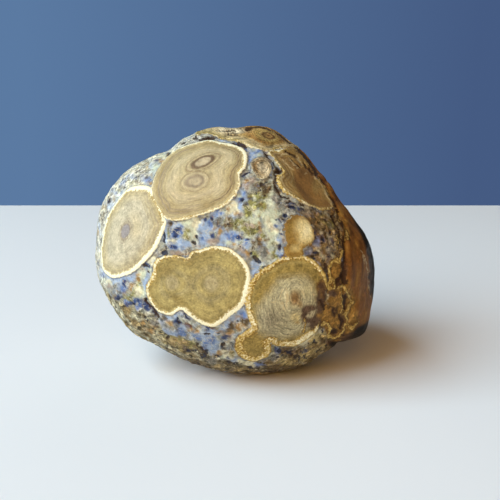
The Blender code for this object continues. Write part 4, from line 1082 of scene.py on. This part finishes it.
# Dark seams, most of them in the creases, the grooves and along the far shoulder's edge: the stone's
# own dark lines, deepened as painted shade in those grooves.
SEAMS_AND_GROOVE_SHADE = [
    (0.14, [(10.7, 22.2), (12.2, 21.7), (13.8, 20.6), (14.7, 19.2)]),
    (0.12, [(11.3, 21.1), (12.7, 20.1), (13.8, 18.9)]),
    (0.16, [(15.1, 19.8), (16, 18.2), (16.9, 17.1)]),
    (0.3, [(-8, 25), (-6.4, 25.3), (-4.7, 25.2)]),
    (0.32, [(-0.4, 24.1), (0.9, 23.8), (2.2, 23.7)]),
    (0.14, [(-4, 26.8), (-1.8, 26.8), (0, 26.6)]),
    (0.14, [(-1.8, 26.1), (0.2, 26)]),
    (0.3, [(23.8, 3.6), (24, 0.9), (24.1, -3.6), (24.4, -7.1)]),
    (0.28, [(18.2, 16.3), (19.1, 15.3), (21.8, 10.7), (23.1, 7.1), (24.2, 4.7), (24.9, 2.7)]),
    (0.45, [(13.6, 22.9), (14.9, 21.7), (16.2, 20), (17.7, 17.3)]),
    (0.2, [(6.7, 21.7), (7.6, 20.9), (8.9, 19), (9.8, 18)]),
    (0.35, [(9.3, 18.6), (10, 17.8), (9.1, 17.6)]),
    (0.25, [(8.8, 17.1), (8.6, 15.1), (9.1, 13.6), (10, 12.4), (11.6, 11.8)]),
    (0.35, [(24.2, -10), (24.3, -11.3), (24.2, -12.6)]),
    (0.4, [(20.1, -3.1), (20.2, -4.4)]),
    (0.2, [(20.3, -4.7), (20.4, -6.4)]),
    (0.25, [(21.3, 8), (22.4, 5.8), (23.3, 3.1)]),
    (0.3, [
        (2.2, 27.2), (3.6, 27.7), (5.3, 27.7), (6.9, 27.3), (8.4, 26.7), (10.2, 25.6), (12, 24.1),
    ]),
    (0.2, [(14.2, 10.8), (14.9, 10.2)]),
    (0.5, [(22, -7.1), (23.8, -5.6)]),
    (0.3, [(23.3, -14.4), (23.6, -15.8), (23.3, -17.1)]),
    (0.4, [(21.6, -18), (22.2, -17.8)]),
    (0.2, [(21.8, -12.7), (22, -14.4)]),
    (0.2, [(-20.2, -10.6), (-19.6, -11.6), (-17.6, -14.2), (-17, -14.7)]),
    (0.25, [(18.7, -10.7), (19.3, -12), (19.6, -13.3)]),
    (0.2, [(29.2, 0.4), (29.8, -2.2), (30.1, -4.4)]),
    (0.3, [(29.7, -4.9), (30, -7.1), (30, -9.3)]),
]
CREAM_STREAKS_AND_HIGHLIGHT = [
    (0.15, [(11.2, -8.2), (11.5, -10.2), (11.1, -12.7)]),
    (0.13, [(10.5, -11.3), (10.3, -12.7)]),
    (0.1, [(10, -8.2), (9.8, -10), (9.9, -11.6)]),
    (0.1, [(14.2, -6.7), (14.7, -7.3)]),
    (0.12, [(14.7, -8.4), (14.9, -9.3)]),
    (0.1, [(7.8, -11.1), (8.7, -10.9)]),
    (0.1, [(16.7, -8), (17.1, -9.6)]),
    (0.2, [(0.9, 24.7), (3.1, 23.8), (4.2, 22.9)]),
    (0.2, [(3.3, 24.9), (5.8, 23.8)]),
    (0.16, [(5.8, 22.4), (6.9, 22.4), (7.6, 22.7)]),
    (0.16, [(13.3, 21.3), (14.8, 19.2)]),
    (0.12, [(11.6, 20.7), (13.3, 18.7)]),
    (0.12, [(9.6, 21.6), (10.4, 22), (11.6, 21.6)]),
    (0.14, [(10.4, 23.3), (11.3, 23.2), (12.2, 23.8)]),
    (0.14, [(10.4, 20.4), (11.3, 19.1), (12.4, 18.2)]),
    (0.2, [(17.3, 16.3), (18.7, 15.2), (19.4, 14.2), (20.4, 11.6), (21.1, 10.3)]),
    # a painted highlight: the pale reflection line along the right edge of the rind's facet
    (0.1, [(27.8, 0), (29.1, -4), (29.6, -8.4), (29.6, -10.2)]),
    (0.12, [(14.9, 17.3), (15.6, 17.6)]),
]
BACK_STARTS = -3.0  # how near the eye the back's rind begins


def stroke_field(strokes):
    """How far each point is from the edge of the nearest stroke: negative within it."""
    apart = [line_distance(warped, np.array(line)) - half_width for half_width, line in strokes]
    return np.min(apart, axis=0) + 5 * turning_away


hidden = ease(facing, 0.0, -0.3)
behind = ease(nearness + 3.0 * rolling, BACK_STARTS, BACK_STARTS - 2.5)
from_right = ease(points[:, 0] - 0.4 * (points[:, 2] - 25) + 7.0 * rolling, -2.5, 2.5)
rind = np.maximum(seen_area(RIND_EDGE, 0.4 * rolling, 0.3), (facing <= 0) * behind * from_right)
rind = np.maximum(rind, (facing <= 0) * ease(points[:, 0], 18.0, 22.0))
iron = seen_area(IRON_EDGE, crumble, 0.3)
buried = 20 * (rind * hidden - 0.5)  # far outside any orb, where the far side's rind covers it
pattern["edge"] = np.maximum(pattern["edge"], buried)

RIND_BROWN, RIND_OCHRE = (0.235, 0.097, 0.021), (0.34, 0.17, 0.035)
RIND_DARK, RIND_BLACK_AND_SHADE = (0.095, 0.04, 0.012), (0.006, 0.004, 0.002)
streaks = waves(1.6, 71.0, 2, (1, 4, 1))
rind_paint = mixed(ease(streaks, 0.0, 0.7), RIND_BROWN, RIND_OCHRE)
lay(rind_paint, 0.7 * ease(streaks, -0.2, -0.55), RIND_DARK)
clouds = waves(9.0, 77.0, 3)
lay(rind_paint, 0.7 * hidden * ease(clouds, 0.0, 0.5), RIND_DARK)
# The far shoulder is painted nearly black: dark rind, deepened as painted shade where it turns from
# the light. On the far side the black carries on round the shoulder.
shoulder = ease(points[:, 0] + 3 * rolling, 7.0, 13.0) * ease(nearness + 6 * clouds, -17.0, -11.0)
black = np.maximum(seen_area(GLOSS_EDGE, 0.3 * rolling, 0.3), hidden * shoulder)
lay(rind_paint, black, RIND_BLACK_AND_SHADE)
lay(ground, rind, rind_paint)
lay(grit, rind, 0.3)
lay(specks, rind, 0)
worn *= 1 - rind

downward = (1, 3, 1)
umber_runs = 0.25 * iron * ease(waves(1.1, 73.0, 2, downward), 0.05, 0.4)
bright_runs = 0.35 * iron * ease(waves(0.7, 75.0, 2, downward), 0.1, 0.4)
iron_coats = [(iron, IRON_ORANGE), (umber_runs, IRON_UMBER), (bright_runs, IRON_BRIGHT)]
for colour, cover, starts, full, patches in STAINS:
    iron_coats.append((cover * ease(patch_field(patches) + crumble, starts, full), colour))
for cover, colour in iron_coats:
    lay(ground, cover, colour)
    lay(orb_paint, cover, colour)
lay(grit, iron, 0.6)
lay(orb_grit, iron, 0.6)
lay(pattern["gold"], iron, 0.75)
gold_vein, seam_and_groove_shade, cream_streak_and_highlight = map(stroke_field, (GOLD_VEINS, SEAMS_AND_GROOVE_SHADE, CREAM_STREAKS_AND_HIGHLIGHT))

# ---------------------------------------------------------------------------------------
# Relief
# Rims stand a little proud of the orbs and the ground between them is worn lower. The
# rough skin is grainy, the rind rolls, and a few creases run between the lobes.
# ---------------------------------------------------------------------------------------

CREASES = [  # points (right, rise), half width, depth
    ([(6.6, 22.1), (8.6, 20.0), (10.2, 17.9), (9.2, 16.4), (9.1, 14.6), (10.4, 12.6)], 0.5, 0.3),
    ([(24.2, 6.0), (24.4, 2.0), (24.3, -4.0), (24.0, -8.5)], 0.5, 0.6),
    ([(21.4, 17.0), (19.8, 15.2), (21.2, 12.2), (22.0, 9.6), (24.0, 7.0)], 0.5, 0.35),
    ([(19.0, -18.8), (21.4, -20.2), (23.6, -20.3)], 0.6, 0.5),
    ([(-5.8, 25.2), (-2.2, 25.0), (0.4, 24.3), (3.2, 23.0)], 0.5, 0.25),
]
SKIN_SWELL = 0.16  # what the smoothing took off
RIM_RISE, GRAIN_RISE, RIND_ROLL, VEIN_RISE = 0.12, 0.18, 0.22, 0.2
GROUND_DROP, GROUND_WAVES, SPECK_DEPTH, SEAM_DEPTH, IRON_DEPTH = 0.18, 0.14, 0.22, 0.22, 0.15

between = ease(pattern["edge"], 0.0, 0.6) * (1 - rind)
relief = SKIN_SWELL + RIM_RISE * np.exp(-(((pattern["edge"] + 0.4) / 0.4) ** 2))
relief -= between * (GROUND_DROP + GROUND_WAVES * waves(1.6, 5.0, 2))
relief -= SPECK_DEPTH * ease(specks, 0.4, 0.8) * between
relief += worn * GRAIN_RISE * (waves(0.9, 7.0) + 0.7 * waves(2.2, 9.0))
relief += rind * RIND_ROLL * (waves(5.0, 11.0) + 0.4 * waves(1.8, 13.0))
relief += VEIN_RISE * ease(gold_vein, 0.35, -0.1)
relief -= SEAM_DEPTH * ease(seam_and_groove_shade, 0.3, -0.1) + IRON_DEPTH * iron
for marks, half_width, drop in CREASES:
    line = np.array([on_skin(mark) for mark in marks])
    relief -= drop * np.exp(-((line_distance(points, line) / half_width) ** 2))

low, high = np.array(cad_box) / MM
moved = np.clip(points + outwards * relief[:, None], low, high)
moved[points[:, 2] < 0.02, 2] = 0
for vertex, point in zip(skin.verts, moved):
    vertex.co = Vector(point) * MM

# ---------------------------------------------------------------------------------------
# The stone itself
# One closed mesh that stands for the solid, carrying its pattern as attributes.
# ---------------------------------------------------------------------------------------

stone_mesh = bpy.data.meshes.new("agate_pebble")
skin.to_mesh(stone_mesh)
skin.free()
stone_mesh.shade_smooth()
stone = bpy.data.objects.new("agate_pebble", stone_mesh)
bpy.context.scene.collection.objects.link(stone)


def keep_fields(name, *values):
    """Stores three numbers for each vertex, in one attribute."""
    stacked = np.stack(values, axis=1).astype(np.float32)
    field = stone_mesh.attributes.new(name, "FLOAT_VECTOR", "POINT")
    field.data.foreach_set("vector", stacked.ravel())


def keep_paint(name, colours):
    """Stores one colour for each vertex."""
    stacked = np.concatenate([colours, np.ones((len(colours), 1))], axis=1)
    paint = stone_mesh.attributes.new(name, "FLOAT_COLOR", "POINT")
    paint.data.foreach_set("color", stacked.ravel())


keep_fields("orb", pattern["edge"], pattern["ring"], pattern["ringed"])
keep_fields("rim", pattern["rim"], pattern["gold"], orb_grit)
keep_fields("skin", np.maximum(rind, iron), grit, specks)
keep_fields("strokes", gold_vein, seam_and_groove_shade, cream_streak_and_highlight)
keep_fields("wear", black, worn, frost)
keep_paint("ground", ground)
keep_paint("orb_paint", orb_paint)

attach(stone, "root")
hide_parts("pebble")

# ---------------------------------------------------------------------------------------
# The agate's finish
# Waxy, water-worn stone. The orbs are ringed and finely sandy, their rims cream or gold,
# the ground is a mosaic of patches, and the rind is brown, smooth and a little glossy.
# ---------------------------------------------------------------------------------------


class Wire:
    """An output socket of a material. Arithmetic on it adds Math nodes; node() adds any other."""

    def __init__(self, socket):
        self.socket = socket

    def node(self, kind, settings=None, inputs=None, output=0):
        """Adds a node with these settings and inputs, and gives the wire of one output."""
        tree = self.socket.id_data
        made = tree.nodes.new(kind)
        for name, value in (settings or {}).items():
            setattr(made, name, value)
        for name, value in (inputs or {}).items():
            if isinstance(value, Wire):
                tree.links.new(value.socket, made.inputs[name])
            else:
                made.inputs[name].default_value = value
        return Wire(made.outputs[output])

    def math(self, operation, *values):
        return self.node("ShaderNodeMath", {"operation": operation}, dict(enumerate(values)))

    def __add__(self, other):
        return self.math("ADD", self, other)

    def __sub__(self, other):
        return self.math("SUBTRACT", self, other)

    def __rsub__(self, other):
        return self.math("SUBTRACT", other, self)

    def __mul__(self, other):
        return self.math("MULTIPLY", self, other)

    def __truediv__(self, other):
        return self.math("DIVIDE", self, other)

    def __abs__(self):
        return self.math("ABSOLUTE", self)

    __radd__ = __add__
    __rmul__ = __mul__

    def ramp(self, low, high):
        """0 below low, 1 above high and smooth between. It also runs backwards."""
        span = {"Value": self, "From Min": low, "From Max": high}
        return self.node("ShaderNodeMapRange", {"interpolation_type": "SMOOTHSTEP"}, span)

    def over(self, under, colour):
        """colour laid over under where this mask is 1."""
        return self.node("ShaderNodeMix", {"data_type": "RGBA"}, {0: self, 6: under, 7: colour}, 2)

    def shade(self, colour):
        """colour made lighter or darker by this factor."""
        inputs = {0: colour, "Scale": self}
        return self.node("ShaderNodeVectorMath", {"operation": "SCALE"}, inputs, "Vector")

    def parts(self):
        """The three numbers of a vector."""
        split = self.node("ShaderNodeSeparateXYZ", inputs={0: self})
        return [Wire(socket) for socket in split.socket.node.outputs]


def attribute(place, name, output="Vector"):
    """One of the skin's stored fields."""
    return place.node("ShaderNodeAttribute", {"attribute_name": name}, output=output)


def speckle(place, size, detail=2.0, roughness=0.5):
    """Noise about 0 with features of this size, in millimetres."""
    inputs = {"Vector": place, "Scale": 1 / size, "Detail": detail, "Roughness": roughness}
    return place.node("ShaderNodeTexNoise", None, inputs) - 0.5


agate = bpy.data.materials.new("orbicular_agate")
agate.use_nodes = True
stone_mesh.materials.append(agate)
tree = agate.node_tree
shader = tree.nodes["Principled BSDF"]
origin = Wire(tree.nodes.new("ShaderNodeTexCoord").outputs["Object"])
in_mm = {0: origin, "Scale": 1 / MM}
place = origin.node("ShaderNodeVectorMath", {"operation": "SCALE"}, in_mm, "Vector")

edge, ring, ringed = attribute(place, "orb").parts()
rim_width, gold, orb_grit_share = attribute(place, "rim").parts()
rind_share, grit_share, speck_share = attribute(place, "skin").parts()
gold_vein_edge, seam_shade_edge, streak_and_highlight_edge = attribute(place, "strokes").parts()
black_share, worn_share, frost_share = attribute(place, "wear").parts()

fine = speckle(place, 0.3, 2.0, 0.6)
medium = speckle(place, 0.6, 3.0, 0.6)
broad = speckle(place, 2.4, 3.0, 0.55)
grains = speckle(place, 0.42, 1.5)
shift = place.node("ShaderNodeTexNoise", None, {"Vector": place, "Scale": 1.6}, "Color")
bending = {0: shift, 1: (0.9, 0.9, 0.9), 2: place}
bent = place.node("ShaderNodeVectorMath", {"operation": "MULTIPLY_ADD"}, bending, "Vector")
cell = bent.node("ShaderNodeTexVoronoi", None, {"Vector": bent, "Scale": 1.35}, "Color")
cell_value, cell_warmth, cell_fleck = cell.parts()
salt = bent.node("ShaderNodeTexVoronoi", None, {"Vector": bent, "Scale": 2.1}, "Color")
salt_value, salt_dark, _ = salt.parts()


def sanded(colour, amount):
    """A colour with fine lighter and darker sand in it."""
    return (1 + amount * (1.7 * grains + 1.5 * fine)).shade(colour)


def gritted(colour, amount):
    """A colour broken into coarser grains as well, some of them brown or pale."""
    colour = (1 + amount * 0.7 * (cell_value - 0.5)).shade(sanded(colour, amount))
    shades = cell_fleck.ramp(0.8, 0.86) * 0.8 - cell_warmth.ramp(0.72, 0.82) * 0.5
    return (1 + amount * shades).shade(colour)


CREAM_RIM, GOLD_RIM = (0.88, 0.84, 0.58, 1), (0.55, 0.385, 0.095, 1)
AMBER_RIM, RIM_GROOVE_SHADE = (0.24, 0.135, 0.03, 1), (0.06, 0.05, 0.045, 1)
NET_PALE, SALT_DARK = (0.62, 0.59, 0.44, 1), (0.035, 0.035, 0.045, 1)
SPECK_BLUE, SPECK_BROWN = (0.022, 0.028, 0.05, 1), (0.05, 0.035, 0.025, 1)
SEAM_SHADE_DARK, STREAK_AND_HIGHLIGHT_CREAM = (0.04, 0.02, 0.01, 1), (0.58, 0.46, 0.24, 1)
VEIN_AMBER, VEIN_GOLD = (0.27, 0.16, 0.03, 1), (0.68, 0.50, 0.16, 1)
VEIN_EDGE_SHADE = (0.085, 0.042, 0.016, 1)
RING_CROWDING = 4.2  # how fast the rings follow one another

# the orbs: rings and fine sand, inside a rim of cream and gold grains
wobbled = edge + (0.4 + 1.2 * gold) * medium + 0.3 * fine
in_orb = wobbled.ramp(0.08, -0.08)
ring_place = {"Vector": place, "W": ring * RING_CROWDING}
ring_inputs = ring_place | {"Scale": 0.6, "Detail": 2.0, "Roughness": 0.6}
rings = place.node("ShaderNodeTexNoise", {"noise_dimensions": "4D"}, ring_inputs)
banding = 1 + ringed * 1.9 * (rings - 0.5)
orb_colour = sanded(banding.shade(attribute(place, "orb_paint", "Color")), orb_grit_share)
from_mid_rim = abs(wobbled + 0.5 * rim_width)
rim_border = (from_mid_rim / (rim_width + 0.01)).ramp(0.2, 0.55)
rim_tone = 1 - gold - 0.45 * rim_border + (0.6 + gold) * (1.1 * grains + medium)
rim_colour = rim_tone.ramp(-0.1, 0.4).over(AMBER_RIM, GOLD_RIM)
rim_colour = rim_tone.ramp(0.25, 0.85).over(rim_colour, CREAM_RIM)
in_rim = (wobbled + rim_width + 0.7 * broad + 0.3 * grains).ramp(-0.3, 0.18)
orb_colour = in_rim.over(orb_colour, (1 + 0.7 * fine).shade(rim_colour))

# the ground between them: a net of pale veins, dark specks (a few of them painted shade in pits), and
# a painted-shade line in the groove at the rims
net = abs(speckle(place, 1.3)).ramp(0.035, 0.012) * broad.ramp(-0.1, 0.1)
net = net * 0.5 * (1 - rind_share - worn_share)
ground_colour = gritted(attribute(place, "ground", "Color"), grit_share)
ground_colour = net.over(ground_colour, NET_PALE)
# Painted shade: a dark line in the low ground just outside each raised rim.
outline = abs(edge - 0.15 + 0.6 * medium).ramp(0.22, 0.05) * broad.ramp(-0.08, 0.1) * 0.6
ground_colour = outline.over(ground_colour, RIM_GROOVE_SHADE)
salty = (0.9 * frost_share + 0.35 * worn_share) * (1 - rind_share)
ground_colour = (1 + salty * 0.9 * (salt_value - 0.45)).shade(ground_colour)
ground_colour = (salt_dark.ramp(0.14, 0.06) * salty * 0.85).over(ground_colour, SALT_DARK)
# dark specks, a few of them painted shade in small pits
speck = (speck_share + medium + 0.5 * grains).ramp(0.44, 0.66)
speck_colour = cell_warmth.ramp(0.4, 0.6).over(SPECK_BLUE, SPECK_BROWN)
ground_colour = (speck * 0.92).over(ground_colour, speck_colour)
colour = in_orb.over(ground_colour, orb_colour)

# seams, streaks and golden veins cross both; the seams are darkened as painted shade in the grooves,
# and one streak is a painted highlight
stray = 0.7 * medium + 0.4 * fine
colour = ((seam_shade_edge + stray).ramp(0.12, -0.08) * 0.92).over(colour, SEAM_SHADE_DARK)
colour = ((streak_and_highlight_edge + stray).ramp(0.1, -0.06) * 0.75).over(colour, STREAK_AND_HIGHLIGHT_CREAM)
vein = gold_vein_edge + stray
# Painted shade: a dark edge along both sides of the raised golden veins.
colour = (vein.ramp(0.3, 0.05) * 0.8).over(colour, VEIN_EDGE_SHADE)
vein_colour = (2.4 * grains + 1.2 * medium).ramp(-0.5, 0.5).over(VEIN_AMBER, VEIN_GOLD)
colour = vein.ramp(0.06, -0.08).over(colour, vein_colour)

# how it takes the light: grain roughens it, and the dark shoulder has a thin gloss
BUMP_STRENGTH, BUMP_HEIGHT = 0.65, 0.2 * MM

open_rind = rind_share * (1 - in_orb)
open_grit = grit_share * (1 - in_orb)
roughness = 0.56 + 0.16 * medium + 0.1 * open_grit - 0.06 * open_rind
lumps = 0.6 * medium + 0.4 * fine + (0.8 * open_grit + 0.4 * in_rim * in_orb) * (grains + 0.5)
lumps = lumps + 0.2 * in_orb * rings * ringed
bump_inputs = {"Strength": BUMP_STRENGTH, "Distance": BUMP_HEIGHT, "Height": lumps}
bump = lumps.node("ShaderNodeBump", None, bump_inputs, "Normal")
gloss = black_share * 0.05
ends = {"Base Color": colour, "Roughness": roughness, "Normal": bump, "Coat Weight": gloss}
for name, wire in ends.items():
    tree.links.new(wire.socket, shader.inputs[name])
shader.inputs["Coat Roughness"].default_value = 0.3
shader.inputs["Specular IOR Level"].default_value = 0.1

# ---------------------------------------------------------------------------------------
# The floor
# A plain pale sheet that ends a little way behind the stone.
# ---------------------------------------------------------------------------------------

FLOOR_ENDS, FLOOR_REACH = 0.197, 3.0  # metres: its far edge, and half its width
SHEET_WHITE = (0.85, 0.85, 0.84, 1)

floor_shape = bmesh.new()
bmesh.ops.create_grid(floor_shape, x_segments=1, y_segments=1, size=FLOOR_REACH)
bmesh.ops.translate(floor_shape, verts=floor_shape.verts[:], vec=(0, FLOOR_ENDS - FLOOR_REACH, 0))
floor_mesh = bpy.data.meshes.new("floor")
floor_shape.to_mesh(floor_mesh)
floor_shape.free()
floor_finish = bpy.data.materials.new("pale_sheet")
floor_finish.use_nodes = True
floor_shader = floor_finish.node_tree.nodes["Principled BSDF"]
floor_shader.inputs["Base Color"].default_value = SHEET_WHITE
floor_shader.inputs["Roughness"].default_value = 0.8
floor_mesh.materials.append(floor_finish)
floor = bpy.data.objects.new("floor", floor_mesh)
bpy.context.scene.collection.objects.link(floor)
floor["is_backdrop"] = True

# ---------------------------------------------------------------------------------------
# The light
# One broad soft light from the left, a weaker warm one in front, and a faint one behind
# that picks out the top and the right shoulder. The slate-blue backdrop is only seen: what
# it would cast on the stone is left to the warm room round it.
# ---------------------------------------------------------------------------------------

# The backdrop is painted lighter at the left and darker at the right, as the window's light falls on
# it.
SLATE_LEFT, SLATE_RIGHT = (0.105, 0.195, 0.36, 1), (0.060, 0.105, 0.225, 1)
ROOM = (0.038, 0.022, 0.012, 1)
AIM = Vector((0, 0, 0.025))
LIGHTS = [  # name, place, width, power in watts, colour
    ("window", (-0.72, -0.34, 0.72), 0.92, 19.0, (0.615, 0.825, 1.0)),
    ("room", (-0.27, -0.72, 0.42), 0.80, 4.6, (1.0, 0.56, 0.18)),
    ("back", (0.35, 0.60, 0.50), 0.60, 0.7, (1.0, 0.90, 0.8)),
]

for name, spot, width, power, tint in LIGHTS:
    light_data = bpy.data.lights.new(name, "AREA")
    light_data.size = width
    light_data.energy = power
    light_data.color = tint
    light = bpy.data.objects.new(name, light_data)
    light.location = spot
    light.rotation_euler = (AIM - Vector(spot)).to_track_quat("-Z", "Y").to_euler()
    bpy.context.scene.collection.objects.link(light)

world = bpy.data.worlds.new("dusk")
world.use_nodes = True
surroundings = world.node_tree
looked_at = Wire(surroundings.nodes.new("ShaderNodeLightPath").outputs["Is Camera Ray"])
across = Wire(surroundings.nodes.new("ShaderNodeTexCoord").outputs["Generated"]).parts()[0]
span = {"Value": across, "From Min": -0.3, "From Max": 0.3}
slate = across.node("ShaderNodeMapRange", None, span).over(SLATE_LEFT, SLATE_RIGHT)
shown = looked_at.over(ROOM, slate)
surroundings.links.new(shown.socket, surroundings.nodes["Background"].inputs["Color"])
bpy.context.scene.world = world
bpy.context.scene.view_settings.view_transform = "Standard"

# ---------------------------------------------------------------------------------------
# Hand-over
# ---------------------------------------------------------------------------------------

sizes = {
    "cad": [list(corner) for corner in cad_box],
    "visual": [list(corner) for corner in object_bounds()],
}
